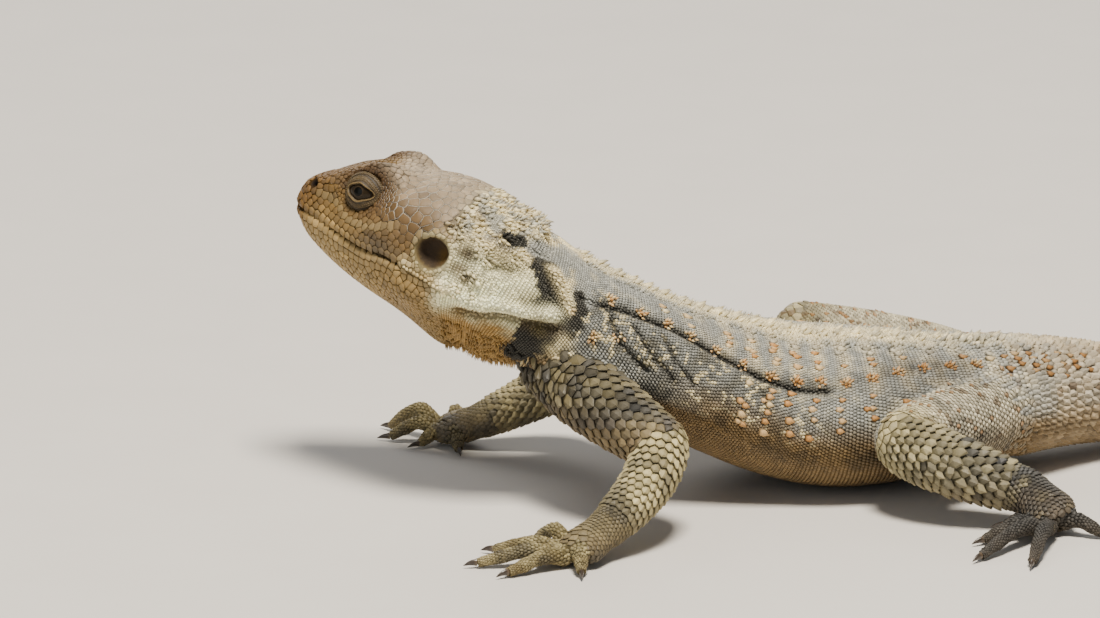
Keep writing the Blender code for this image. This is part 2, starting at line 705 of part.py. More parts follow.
def build_limb(key, limb):
    """Upper and lower length of one limb, and its hand or foot with claws."""
    colour = (0.45, 0.42, 0.32)
    names = limb["names"]
    rows = upper_rows(limb)
    upper = write_mesh(names[0], *tube(pipe_rings(rows[:, :3], rows[:, 3], LIMB_SIDES)), colour)
    room = write_mesh("room", *tube(pipe_rings(rows[:, :3], rows[:, 3] + GAP + 0.08, LIMB_SIDES)), colour)
    combine(upper, limb_spines(rows[:UPPER_RINGS], LIMB_SPINES[0]), "UNION")
    combine(upper, [grown_trunk()], "DIFFERENCE")
    rows = lower_rows(limb)
    rings = pipe_rings(rows[:, :3], rows[:, 3], LIMB_SIDES)
    width, height = limb["palm_size"]
    for i, share in enumerate((0.3, 0.7, 1.0, 1.0), LOWER_RINGS):
        squash = 1.0 + (height / width - 1.0) * share
        rings[i][:, 2] = np.maximum(rows[i, 2] + (rings[i][:, 2] - rows[i, 2]) * squash, 0.0)
    wrist = LOWER_RINGS - 1
    step = limb_frames(rows[:, :3])[0][wrist] * GAP / 2
    shank = [*rings[:wrist], rings[wrist] - step]
    lower = write_mesh(names[1], *tube(shank), colour)
    combine(lower, limb_spines(rows[:LOWER_RINGS], LIMB_SPINES[1]), "UNION")
    combine(lower, [room], "DIFFERENCE")
    foot = write_mesh(names[2], *tube([rings[wrist] + step, *rings[wrist + 1 :]]), colour)
    sole = np.array(limb["palm"])
    digits = []
    for number, (x, y, arch) in enumerate(DIGITS[key], 1):
        tip = np.array([x, y, CLAW_TIP_HEIGHT])
        floor = DIGIT_FLOOR + DIGIT_FLOOR_STEP * number
        digit, claw = digit_rings(sole, tip, arch, height * 0.7, floor)
        digits.append(write_mesh("digit", *tube(digit), (0.4, 0.39, 0.32)))
        name = f"claw_{limb['names'][2]}_{number}"
        write_mesh(name, *tube(claw, end=tip), (0.06, 0.05, 0.04), 0.35)
    combine(foot, digits, "UNION")


def digit_rings(sole, tip, arch, start, floor):
    """Rings of a digit from inside the sole over its arch, and of the claw that goes on from its end."""
    ahead = unit([*(tip - sole)[:2], 0.0])
    root = tip - ahead * CLAW_LENGTH
    knots = [sole + (root - sole) * share for share in DIGIT_SHARES] + [tip.copy()]
    levels = (start, arch, arch * 0.62, DIGIT_RADII[3] + 0.25, CLAW_TIP_HEIGHT)
    for point, level in zip(knots, levels):
        point[2] = level
    count = len(DIGIT_SHARES) - 1
    at = np.concatenate([np.linspace(0, count, 2 * count), count + np.array(CLAW_STEPS)])
    centres = through(range(count + 2), knots, at)
    radii = through(range(count + 2), [*DIGIT_RADII, 0.1], at)
    rings = pipe_rings(centres, radii, DIGIT_SIDES, floor)
    tangent, _, _ = limb_frames(centres)
    split = 2 * count - 1
    digit = rings[:split] + [rings[split] - tangent[split] * GAP / 2]
    narrow = centres[split] + (rings[split] - centres[split]) * CLAW_RADIUS / DIGIT_RADII[3]
    return digit, [narrow + tangent[split] * GAP / 2, *rings[split + 1:]]


def trunk_spot(along, angle):
    """A place on the trunk's surface and the outward direction there."""
    angle = math.radians(angle)
    around = ring([along], np.array([angle - 0.06, angle, angle + 0.06]))[0]
    further = ring([along + 0.6], np.array([angle]))[0, 0]
    outward = unit(np.cross(further - around[1], around[2] - around[0]))
    centre = frames(along)[0][0, :3]
    return around[1], outward * np.sign(outward @ (around[1] - centre))


def cone(spot, outward, lean, height, radius, sides):
    """A spine on a surface: a narrow pyramid that leans along lean, its root sunk in the flesh."""
    axis = unit(outward + lean)
    across = unit(np.cross(axis, [0.3, 0.2, 0.9]))
    over = np.cross(axis, across)
    turn = even_angles(sides)
    root = spot - outward * SPINE_ROOT
    base = root + np.outer(np.cos(turn) * radius, across) + np.outer(np.sin(turn) * radius, over)
    points = np.concatenate([base, [spot + axis * height, root - axis * 0.1]])
    faces = []
    for i in range(sides):
        j = (i + 1) % sides
        faces += [(i, j, sides), (j, i, sides + 1)]
    return write_mesh("spine", points, faces, (0.6, 0.5, 0.3))


def star(spot, outward, backward, height, radius):
    """A rosette: a low pyramid whose base is a four-pointed star, its peak pulled backward."""
    across = unit(np.cross(outward, backward))
    over = np.cross(across, outward)
    turn = even_angles(8)
    reach = np.where(np.arange(8) % 2 == 0, radius, radius * 0.55)
    root = spot - outward * SPINE_ROOT
    base = root + np.outer(np.cos(turn) * reach, across) + np.outer(np.sin(turn) * reach, over)
    peak = spot + outward * height + backward * height * 0.5
    points = np.concatenate([base, [peak, root - outward * 0.1]])
    faces = []
    for i in range(8):
        j = (i + 1) % 8
        faces += [(i, j, 8), (j, i, 9)]
    return write_mesh("rosette", points, faces, (0.6, 0.45, 0.25))


def trunk_spines(start, end):
    """The crest, tufts, flank spines and rosettes whose places lie between two cuts."""
    made = []
    for along, angle, height, radius in spine_places():
        if start + 0.9 < along < end - 0.9:
            spot, outward = trunk_spot(along, angle)
            made.append(cone(spot, outward, frames(along)[1][0] * 0.7, height, radius, 4))
    for along, down in ROSETTES:
        if start + 1.6 < along < end - 1.6:
            for side in (1, -1):
                spot, outward = trunk_spot(along, 90.0 + side * down)
                made.append(star(spot, outward, frames(along)[1][0], 0.8, 1.35))
    return made


def spine_places():
    """Distance along, angle from the left side over the back, height and root radius of each single spine."""
    places = []
    for along in np.arange(CREST_START, CREST_END, CREST_STEP):
        fade = (along - CREST_START) / (CREST_END - CREST_START)
        places.append((along, 90.0, 1.6 - 0.9 * fade, 0.7 - 0.1 * fade))
    for side in (1, -1):
        for along, down in TUFTS:
            for turn, step, height in ((0.0, 0.0, 1.9), (8.0, 1.1, 1.3), (-8.0, 1.2, 1.3)):
                places.append((along + step, 90.0 + side * (down + turn), height, 0.7))
        for along, down in FLANK_SPINES:
            places.append((along, 90.0 + side * down, 0.7, 0.65))
    return places


def grown_trunk():
    """The trunk grown by the gap, to cut the root of a limb with."""
    start, end = station("ear", "nape", 0.5), station("tail_root", "tail_fat", 0.3)
    _, rings = trunk_length(start, end, 2.5, even_angles(RING_SIDES), GAP + 0.1)
    return write_mesh("grown", *tube(rings), (0.2, 0.2, 0.2))


def main():
    for obj in list(bpy.data.objects):
        bpy.data.objects.remove(obj)
    head_end, neck_end, vent = station(*HEAD_CUT), station(*NECK_CUT), station(*VENT_CUT)
    tail_a, tail_b = (station(*cut) for cut in TAIL_CUTS)
    build_head()
    neck = build_length("neck", head_end, neck_end, 1.8, neck_angles, (0.5, 0.46, 0.36))
    combine(neck, trunk_spines(head_end, neck_end), "UNION")
    torso = build_length("torso", neck_end, vent, 3.4, even_angles(RING_SIDES), (0.42, 0.4, 0.34))
    combine(torso, trunk_spines(neck_end, vent), "UNION")
    build_tail("tail_base", vent, tail_a, (0.5, 0.44, 0.33))
    build_tail("tail_middle", tail_a, tail_b, (0.5, 0.44, 0.33))
    build_tail("tail_tip", tail_b, ALONG[-1], (0.42, 0.37, 0.28), last=False)
    for key, limb in LIMBS.items():
        build_limb(key, limb)


main()
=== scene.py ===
"""A starred agama in its skin: scales, plates, spines, lids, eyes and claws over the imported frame.

Lengths are millimetres in the working frame of the part, whose floor is at z = 0, until a mesh is
written: new_mesh and set_points turn them into metres in the frame's own place.
"""

import json
import math

import bmesh
import bpy
import numpy as np
from bpy.props import FloatProperty, FloatVectorProperty, IntProperty, PointerProperty
from bpy.types import Operator, Panel, PropertyGroup
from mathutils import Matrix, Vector, noise
from mathutils.bvhtree import BVHTree
from mathutils.kdtree import KDTree

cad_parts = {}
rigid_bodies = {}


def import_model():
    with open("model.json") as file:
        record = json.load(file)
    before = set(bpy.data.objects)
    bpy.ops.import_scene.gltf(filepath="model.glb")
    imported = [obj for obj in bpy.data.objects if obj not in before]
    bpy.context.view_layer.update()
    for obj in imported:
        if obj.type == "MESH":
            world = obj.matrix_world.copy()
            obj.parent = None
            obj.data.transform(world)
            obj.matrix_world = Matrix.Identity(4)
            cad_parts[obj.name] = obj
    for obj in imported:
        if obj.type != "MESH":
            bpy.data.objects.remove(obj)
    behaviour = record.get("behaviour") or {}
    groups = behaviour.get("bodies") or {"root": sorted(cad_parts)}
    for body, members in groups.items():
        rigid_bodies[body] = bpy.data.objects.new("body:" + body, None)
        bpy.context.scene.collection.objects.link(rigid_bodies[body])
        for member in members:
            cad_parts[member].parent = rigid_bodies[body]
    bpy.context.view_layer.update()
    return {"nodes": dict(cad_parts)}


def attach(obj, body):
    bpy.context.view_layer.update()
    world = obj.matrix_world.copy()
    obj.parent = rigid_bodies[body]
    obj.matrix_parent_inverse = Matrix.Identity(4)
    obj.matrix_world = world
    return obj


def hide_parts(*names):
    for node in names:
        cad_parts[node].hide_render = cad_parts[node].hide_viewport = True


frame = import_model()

bl_info = {
    "name": "Starred agama",
    "version": (1, 0, 0),
    "blender": (4, 5, 0),
    "location": "View3D > Sidebar > Agama",
    "description": "Builds the skin, scales, spines, eyes and claws of a starred agama",
    "category": "Object",
}

# A millimetre in metres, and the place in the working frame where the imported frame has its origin.
MM = 0.001
ORIGIN = np.array([71.36, 16.4, 0.0])

# The head's pose, given at the tip of the snout.
SNOUT = np.array([-70.6, 17.5, 44.4])
HEAD_YAW, HEAD_PITCH, HEAD_ROLL = 26.0, 9.0, 3.0

# Distance back from the snout, height of the centre over the head's axis, half width, rise,
# drop, squareness.
HEAD_SECTIONS = [
    (0.4, 0.5, 2.4, 2.1, 3, 0.95),
    (1.5, 0.2, 3.6, 3.5, 4.3, 0.85),
    (3.6, -0.3, 4.7, 5.2, 5.3, 0.8),
    (6, -0.7, 5.6, 7.3, 6.2, 0.78),
    (9, -1.1, 6.8, 9.1, 7.2, 0.76),
    (12.7, -1.4, 8.3, 10.3, 8.3, 0.76),
    (17, -1.8, 9.9, 11, 9.2, 0.8),
    (21.5, -2, 11.1, 11.3, 9.9, 0.85),
    (27.5, -2.2, 11.9, 11.3, 10.2, 0.9),
]

# Centre x, y, z, half width, rise, drop, from the nape to the tip of the tail.
BODY_SECTIONS = [
    (-41.5, 3.2, 36.8, 11.4, 9.9, 9.6),
    (-33, 4.4, 30.6, 12, 9.1, 9.6),
    (-24.7, 6, 25, 14.2, 9.4, 9.4),
    (-15.5, 9, 19.9, 16.6, 9.6, 9.8),
    (-7, 11.2, 15.8, 18.4, 10.4, 10.3),
    (1, 12.8, 13, 19.4, 11, 11),
    (10.8, 13.8, 11.4, 20, 11.3, 11.55),
    (21.6, 15.4, 11.2, 18.6, 10.6, 10.7),
    (30.9, 18.2, 11, 15.4, 9.5, 9.6),
    (39, 21.4, 10.8, 12.3, 8.8, 8.8),
    (46.4, 24.8, 10.2, 9.4, 7.9, 7.9),
    (54, 28.8, 8.9, 7.8, 7, 7),
    (70, 37, 6.1, 6.3, 5.8, 6),
    (95, 45, 4.5, 4.9, 4.5, 4.7),
    (120, 47.5, 3.6, 3.9, 3.6, 3.8),
    (146, 45, 2.8, 3, 2.8, 3),
    (172, 40, 2, 2.2, 2.05, 2.2),
    (196, 37, 1.3, 1.45, 1.35, 1.5),
    (214, 37.5, 0.65, 0.65, 0.6, 0.8),
]

# Soft swellings and hollows of the head: centre (back, side, up), reach, push, for both sides.
HEAD_FORMS = {
    "brow_ridge": ((12.4, 5.4, 9.2), (4.6, 1.9, 2.8), (0, 0.9, 2.5)),
    "brow_end": ((16.8, 5.2, 10.6), (2.2, 2, 2.6), (0, 0.2, 2)),
    "brow_notch": ((20.4, 5.4, 9), (1.7, 2.6, 2.2), (0, 0, -0.6)),
    "crown_dip": ((12, 0, 9.6), (6, 2.2, 3), (0, 0, -1.1)),
    "canthus": ((6.2, 4.2, 5.4), (3.4, 1.4, 1.6), (0, 0.3, 0.5)),
    "nostril_swell": ((2.6, 3.2, 3.6), (1.7, 1.5, 1.6), (0, 0.5, 0.3)),
    "socket": ((13.7, 8.2, 4.9), (4.7, 2.8, 3.4), (0, -2.3, 0)),
    "chin": ((0.8, 0, -3.6), (2.4, 4, 1.9), (0.8, 0, 0.3)),
    "loreal_hollow": ((7, 6.2, 1.8), (2.8, 2.2, 2.2), (0, -0.8, 0)),
    "cheek_ridge": ((17, 9.4, 0.2), (5, 2.4, 1.6), (0, 0.7, 0)),
    "lip_swell": ((11, 8, -1.6), (8, 2.4, 1.4), (0, 0.4, 0)),
    "temple": ((21, 9, 4.4), (3.6, 3, 2.8), (0, 0.7, 0.6)),
    "ear_rim": ((28.6, 11.4, 3.2), (3.6, 2.6, 1.5), (0, 0.8, 0.2)),
    "jaw_muscle": ((26.5, 10.6, -6.6), (4.2, 3.6, 2.8), (0, 1.5, -0.4)),
    "throat_pouch": ((30.5, 0, -13.4), (8, 7, 5), (0, 0, -4.9)),
    "pit_behind_ear": ((33.6, 12.4, 1.2), (1.6, 2.4, 2.6), (0, -1.2, 0)),
    "neck_fold_upper": ((36.6, 11.4, 2.6), (2.2, 3.2, 4.4), (0, 1.2, 0)),
    "neck_fold_lower": ((36.6, 9.6, -8), (4.4, 3.8, 3), (0, 1.5, -0.6)),
}

# The mouth line: distances back and heights over the head's axis, and where it ends.
MOUTH_LINE = ((0, 5, 12, 16, 19.5, 23.5), (-1.1, -1.6, -2.5, -2.9, -2.6, -3.1))
MOUTH_CORNER = 23.5
# Centres on the left side of the head: back, side, up.
EYE_CENTRE = (12.7, 5, 4.7)
EAR_CENTRE = (28.3, 12, 0.6)
NOSTRIL_CENTRE = (3.1, 4.1, 3.1)
# How far ahead and behind the direction of the trunk is read.
TURN_WINDOW = 6.0

# Limbs: centres and radii from the root to the wrist or ankle, then the sole and its half width
# and height. JOINT is the place of the elbow or knee in a path.
LIMBS = {
    "arm_left": {
        "path": [
            (-31.5, 2, 22.5, 6.2), (-27, -7, 19.6, 5.6), (-21, -13.2, 16.6, 4.9), (-15.6, -17.2, 14, 4.2),
            (-17, -22.2, 10.8, 3.8), (-20.2, -26.6, 7.4, 3.4), (-23.6, -30, 4.8, 3),
        ],
        "palm": (-28, -33.6, 2.5),
        "palm_size": (4, 2.3),
        "nodes": ("upper_arm_left", "forearm_left", "hand_left"),
    },
    "arm_right": {
        "path": [
            (-31, 8, 21.5, 6), (-28.6, 16.4, 18.4, 5.4), (-27, 22, 15.4, 4.7), (-28.4, 25.8, 12.6, 4),
            (-32.4, 27.6, 10, 3.7), (-37.6, 28.3, 7, 3.2), (-42.6, 28.4, 4.6, 2.8),
        ],
        "palm": (-47.6, 30, 2.5),
        "palm_size": (4, 2.3),
        "nodes": ("upper_arm_right", "forearm_right", "hand_right"),
    },
    "leg_left": {
        "path": [
            (38.6, 16, 10.6, 7.4), (32.9, 6.8, 11.2, 6.6), (27.2, -1.6, 11.8, 5.7), (22.2, -7.2, 11.6, 4.8),
            (27, -10.8, 9.8, 4.5), (33.6, -12.6, 7.6, 3.9), (40.6, -13.8, 5.6, 3.3),
        ],
        "palm": (44.4, -17.4, 3.2),
        "palm_size": (4, 2.9),
        "nodes": ("thigh_left", "shank_left", "foot_left"),
    },
    "leg_right": {
        "path": [
            (34.5, 24, 10.8, 7.4), (25.6, 31.2, 13, 6.4), (16, 35.6, 14.8, 5.4), (7.4, 38.6, 16, 4.6),
            (10.6, 43.6, 12.8, 4.3), (18, 47.8, 8.8, 3.7), (24.6, 50.6, 5.8, 3.2),
        ],
        "palm": (28.2, 55.4, 3.2),
        "palm_size": (4, 2.9),
        "nodes": ("thigh_right", "shank_right", "foot_right"),
    },
}
JOINT = 3
# The row of larger plates under the eye: distances back and heights over the head's axis.
UNDER_EYE = ((4.8, 8.2, 11.3, 15, 18, 21.5), (2.3, 1.9, 0.4, 0.6, 1.6, 2.8))

# Digits, first to fifth: where each claw's tip touches down (x, y), and how high the digit arches.
DIGITS = {
    "arm_left": [
        (-36.4, -23.6, 4.2), (-43, -27.6, 2.7), (-45.6, -35.6, 2.5),
        (-40.6, -41.4, 2.3), (-27.6, -42.4, 2.6),
    ],
    "arm_right": [
        (-46.4, 22, 2.6), (-54.8, 26.8, 2.6), (-59.6, 32, 3.4),
        (-59.2, 38.8, 4.6), (-46.8, 39.8, 4.2),
    ],
    "leg_left": [
        (35, -15.6, 2.6), (31.8, -24.6, 2.6), (31.6, -33.6, 2.8),
        (40.2, -37.2, 3), (54, -21.2, 2.6),
    ],
    "leg_right": [
        (18.8, 53.6, 2.6), (15.6, 62.6, 2.6), (15.4, 71.6, 2.8),
        (24, 75.2, 3), (37.8, 59.2, 2.6),
    ],
}
# Radii of a digit at its knots, and how far each knot lies from the middle of the sole to the claw.
DIGIT_RADII = (1.35, 1.05, 0.9, 0.62)
DIGIT_SHARES = (0.18, 0.5, 0.8, 1)
# Lengths of limb before the digits in the list of parts, and shares of the flat map's height.
LIMB_LENGTHS = 8
TRUNK_SPAN, LIMB_SPAN, DIGIT_SPAN = 0.5, 0.14, 0.055
# How far along the plates of the head and the coats of neck and chest reach, and where the tail's begin.
HEAD_END, NECK_END, CHEST_END, TAIL_START = 30.5, 50, 84, 121
# Sides of the rings that the skin is fused from, and the ball inside the lids.
TRUNK_SIDES, LIMB_SIDES, DIGIT_SIDES = 88, 36, 14
LID_RADIUS = 3.05
CLAW_LENGTH = 2.1
CLAW_TIP_HEIGHT = 0.4

# The camera: the point it looks at, its distance and the picture's width there in metres, its rise.
LOOK_AT = np.array([-32.46, 10.0, 27.85])
CAMERA_DISTANCE, PICTURE_WIDTH, CAMERA_RISE = 1.8, 1.1 / 6.47, 16.0

# Places on the trunk: distance back along the centreline, degrees down from the midline of the back.
TUFTS = [
    (30, 50), (34.6, 15), (34.2, 44), (33.8, 66), (35.8, 56), (36.8, 8), (36.9, 19),
]
ROSETTES = [
    (49.6, 44), (54.6, 43), (59, 42.5), (63.2, 45), (67.8, 48), (73, 51), (78.6, 53), (84.2, 51),
    (89.2, 49), (93.6, 47.5), (97.8, 44), (101.6, 39), (105.4, 36), (109.4, 35), (113.6, 34),
    (49.2, 86), (52.4, 74),
]
FLANK_SPINES = [
    (74, 36), (79, 31), (83.6, 28), (88.2, 25), (92.8, 23), (97.4, 21), (102, 19), (106.6, 17),
    (111.2, 15), (73.6, 81), (75.4, 97), (77.6, 74), (79.4, 97), (82.6, 70), (84.2, 91), (87.6, 70),
    (92.2, 68), (96.4, 67),
]

# Folds and ridges of the trunk: a line of places, its half width and how far it is pushed in or out.
FOLDS = [
    ([(45, 60), (52, 48), (60, 46), (67, 51), (77, 57), (84, 57.5), (90, 55)], 0.9, -0.75),
    ([(31, 101), (33.8, 109), (35, 108), (37, 104), (39, 101), (41, 95), (42.2, 90)], 1.1, 0.8),
    ([(33, 121), (35.5, 118), (37.5, 113), (39.5, 110), (41.5, 104), (43.5, 97)], 0.9, -1.3),
    ([(24.2, 92), (27, 94), (29, 98), (31, 102)], 0.8, 0.35),
    ([(24.8, 99), (27.6, 101), (29.6, 106)], 0.7, -0.3),
    ([(39.6, 52), (40.7, 60), (42.2, 69), (43.7, 77)], 0.8, 0.55),
    ([(37.8, 44), (38.9, 54), (39.6, 66), (41.2, 80)], 0.9, -0.6),
    ([(34.4, 58), (34.8, 72)], 1, -0.9),
    ([(34.2, 70), (36.4, 60), (37, 50)], 0.7, 0.4),
    ([(50.5, 62), (53, 80), (57.5, 92)], 0.7, -0.8),
    ([(54, 60), (57, 76), (61.5, 90)], 0.7, -0.6),
    ([(58.5, 58), (61, 74), (65, 86)], 0.7, -0.4),
    ([(117.5, 42), (119, 55), (118, 70)], 0.8, -0.4),
    ([(36.2, 0), (36.6, 12), (36.2, 26)], 0.9, 0.8),
    ([(38.4, 0), (38.7, 14), (38.3, 30), (37.8, 42)], 1, -0.5),
]
# The folds that the markings, and the painted shade in their grooves, follow, by their number.
FLANK_FOLD, NECK_FOLD, UNDER_FOLD, JAW_FOLD, NAPE_FOLD = 0, 1, 2, 3, 5
SHOULDER_FOLDS = slice(9, 12)

# Columns of tubercles down the back and flank: distance along, degrees down of the first and
# the last, and their step.
COLUMNS = [
    (58.6, 25, 32, 5), (63, 25, 37, 5), (70.4, 26, 42, 4.6), (75, 23, 44, 4.4), (79.6, 20, 44, 4.4),
    (84.2, 18, 44, 4.4), (88.8, 16, 42, 4.4), (93.4, 15, 40, 4.6), (98, 13, 37, 4.8),
    (102.6, 12, 32, 5), (107.2, 10, 29, 5), (111.8, 9, 28, 5.5), (116.4, 11, 30, 6),
    (118.6, 14, 44, 7), (120.8, 14, 40, 6), (123, 12, 48, 7), (125.4, 16, 52, 7),
    (127.8, 13, 56, 7), (130.2, 16, 52, 7), (132.6, 13, 49, 7), (74.4, 64, 98, 6.5),
    (79, 64, 104, 6), (83.4, 62, 100, 6.5), (88, 63, 98, 7), (92.6, 60, 88, 8), (97.4, 58, 76, 8),
    (101.8, 55, 68, 8),
]


def unit(v):
    """v at length 1, for one vector or a row of them."""
    v = np.asarray(v, float)
    return v / np.maximum(np.linalg.norm(v, axis=-1, keepdims=True), 1e-12)


def through(knots, values, at):
    """A smooth curve through values at knots, read at each of at."""
    knots = np.asarray(knots, float)
    values = np.asarray(values, float)
    at = np.asarray(at, float)
    slopes = np.gradient(values, knots, axis=0)
    i = np.clip(np.searchsorted(knots, at, side="right") - 1, 0, len(knots) - 2)
    step = knots[i + 1] - knots[i]
    t = (at - knots[i]) / step
    if values.ndim > 1:
        step, t = step[..., None], t[..., None]
    a = (1 + 2 * t) * (1 - t) ** 2
    b = t * (1 - t) ** 2
    c = t * t * (3 - 2 * t)
    d = t * t * (t - 1)
    return a * values[i] + b * step * slopes[i] + c * values[i + 1] + d * step * slopes[i + 1]


def ramp(value, low, high):
    """0 below low, 1 above high, eased between them."""
    t = np.clip((np.asarray(value, float) - low) / (high - low), 0.0, 1.0)
    return t * t * (3 - 2 * t)


def bump(value, centre, reach):
    """A soft hump of height 1."""
    return np.exp(-(((np.asarray(value, float) - centre) / reach) ** 2))


def pool(x, y, place, reach, flat=1):
    """1 at a place on the side of the head, falling to 0 over reach, more suddenly where flat is 2."""
    return np.exp(-(((x - place[0]) / reach[0]) ** 2 + ((y - place[1]) / reach[1]) ** 2) ** flat)


def share_of(back, up, centre, reach):
    """Distance from a centre on the side of the head, in half axes of an oval."""
    return np.hypot((back - centre[0]) / reach[0], (up - centre[2]) / reach[1])


def distances(points):
    """How far along its line each point is."""
    return np.concatenate([[0.0], np.cumsum(np.linalg.norm(np.diff(points, axis=0), axis=1))])


def turned(left, up, roll):
    """Two cross vectors turned by roll towards each other."""
    return left * np.cos(roll) + up * np.sin(roll), up * np.cos(roll) - left * np.sin(roll)


def head_axes():
    """Unit vectors of the head: forward, towards its left, and up."""
    yaw, pitch, roll = (math.radians(v) for v in (HEAD_YAW, HEAD_PITCH, HEAD_ROLL))
    level = math.cos(pitch)
    forward = np.array([-math.cos(yaw) * level, math.sin(yaw) * level, math.sin(pitch)])
    left = np.array([-math.sin(yaw), -math.cos(yaw), 0.0])
    return forward, *turned(left, np.cross(forward, left), roll)


FORWARD, LEFT, UP = head_axes()


def in_head(points):
    """Points as (distance back, side, up) from the tip of the snout."""
    d = np.asarray(points, float) - SNOUT
    return np.stack([-(d @ FORWARD), d @ LEFT, d @ UP], axis=-1)


def from_head(back, side, up):
    """A place in the head, as a point."""
    return SNOUT - back * FORWARD + side * LEFT + up * UP


def trunk_rows():
    """Distances along the centreline, and each section: x, y, z, half width, rise, drop, squareness, roll."""
    rows = [[*from_head(b, 0.0, h), w, r, d, s, HEAD_ROLL] for b, h, w, r, d, s in HEAD_SECTIONS]
    rows += [[*row, 0.95, 0.0 if i else 3.0] for i, row in enumerate(BODY_SECTIONS)]
    rows = np.array(rows)
    return 0.5 + distances(rows[:, :3]), rows


ALONG, ROWS = trunk_rows()


def frames(along):
    """Sizes, tangent, left and up of the trunk at each distance along its centreline."""
    along = np.atleast_1d(np.asarray(along, float))
    row = through(ALONG, ROWS, along)
    ahead = through(ALONG, ROWS[:, :3], np.minimum(along + TURN_WINDOW, ALONG[-1]))
    behind = through(ALONG, ROWS[:, :3], np.maximum(along - TURN_WINDOW, ALONG[0]))
    tangent = unit(ahead - behind)
    left = unit(np.cross(tangent, [0.0, 0.0, 1.0]))
    up = np.cross(left, tangent)
    return row, tangent, *turned(left, up, np.radians(row[:, 7])[:, None])


def swell(points):
    """Points of the trunk with the head's swellings and hollows pushed in or out."""
    local = in_head(points)
    moved = np.array(points, float)
    sign = np.where(local[..., 1] < 0, -1.0, 1.0)
    for centre, reach, push in HEAD_FORMS.values():
        offset = np.stack([local[..., 0], np.abs(local[..., 1]), local[..., 2]], axis=-1) - centre
        weight = np.exp(-((offset / reach) ** 2).sum(-1))[..., None]
        moved += weight * (-push[0] * FORWARD + push[2] * UP + (sign * push[1])[..., None] * LEFT)
    return moved


def ring(along, angles):
    """The trunk's rings at these distances, after the swellings."""
    row, _, left, up = frames(along)
    angles = np.broadcast_to(angles, (len(row), np.shape(angles)[-1]))
    cosine, sine = np.cos(angles), np.sin(angles)
    power = row[:, 6][:, None]
    width = np.sign(cosine) * np.abs(cosine) ** power * row[:, 3][:, None]
    reach = np.where(sine > 0, row[:, 4][:, None], row[:, 5][:, None])
    height = np.sign(sine) * np.abs(sine) ** power * reach
    points = swell(row[:, None, :3] + width[..., None] * left[:, None] + height[..., None] * up[:, None])
    points[..., 2] = np.maximum(points[..., 2], 0.0)
    return points


def even_angles(sides):
    """Angles round a section, from its left side over the back."""
    return np.arange(sides) * 2 * math.pi / sides


def limb_frames(path):
    """Tangents and two cross vectors along a path, carried from one point to the next without twist."""
    tangent = unit(np.gradient(path, axis=0))
    side = unit(np.cross(tangent[0], [0.0, 0.0, 1.0]))
    sides = []
    for t in tangent:
        side = unit(side - t * (side @ t))
        sides.append(side)
    sides = np.array(sides)
    return tangent, sides, np.cross(sides, tangent)


def pipe_rings(path, radii, sides, floor=0.0):
    """Rings of a round pipe along a path, none of it lower than floor."""
    path = np.asarray(path, float)
    _, side, up = limb_frames(path)
    turn = even_angles(sides)
    around = np.cos(turn)[None, :, None] * side[:, None] + np.sin(turn)[None, :, None] * up[:, None]
    rings = path[:, None] + radii[:, None, None] * around
    rings[..., 2] = np.maximum(rings[..., 2], floor)
    return rings


def limb_rows(path, count):
    """Centres and radii at even distances along a path."""
    path = np.array(path)
    knots = distances(path[:, :3])
    return through(knots, path, np.linspace(0.0, knots[-1], count))


def upper_rows(limb, count=40):
    """Centres and radii of the upper length, rounded off past its knee or elbow."""
    rows = limb_rows(limb["path"][: JOINT + 1], count)
    ahead = unit(rows[-1, :3] - rows[-2, :3])
    radius = rows[-1, 3]
    turn = np.linspace(0.2, 1.35, 6)
    dome = np.column_stack([rows[-1, :3] + np.outer(np.sin(turn) * radius, ahead), np.cos(turn) * radius])
    return np.concatenate([rows, dome])


def lower_rows(limb, count=44):
    """Centres and radii from inside the knee or elbow to the wrist or ankle, and on to the knuckles."""
    rows = limb_rows(limb["path"][JOINT:], count)
    rows[:3, 3] *= np.array([0.8, 0.9, 0.97])
    wrist, sole = rows[-1], np.array(limb["palm"])
    width, height = limb["palm_size"]
    front = sole + unit(sole - wrist[:3]) * 2.2
    foot = np.array([
        [*wrist[:3], wrist[3]],
        [*(wrist[:3] * 0.7 + sole * 0.3), wrist[3]],
        [*(wrist[:3] * 0.35 + sole * 0.65), (wrist[3] + width) / 2],
        [*sole, width],
        [*front[:2], height * 0.8, width * 0.7],
    ])
    foot = through(range(5), foot, np.linspace(0.0, 4.0, 17)[1:])
    return np.concatenate([rows, foot]), count


def lower_rings(limb, sides):
    """Rings of a forearm or shank with its sole, which is flatter than it is wide."""
    rows, wrist = lower_rows(limb)
    rings = pipe_rings(rows[:, :3], rows[:, 3], sides)
    width, height = limb["palm_size"]
    for i in range(wrist, len(rows)):
        squash = 1.0 + (height / width - 1.0) * min(1.0, (i - wrist) / 10)
        rings[i][:, 2] = np.maximum(rows[i, 2] + (rings[i][:, 2] - rows[i, 2]) * squash, 0.0)
    return rows, rings


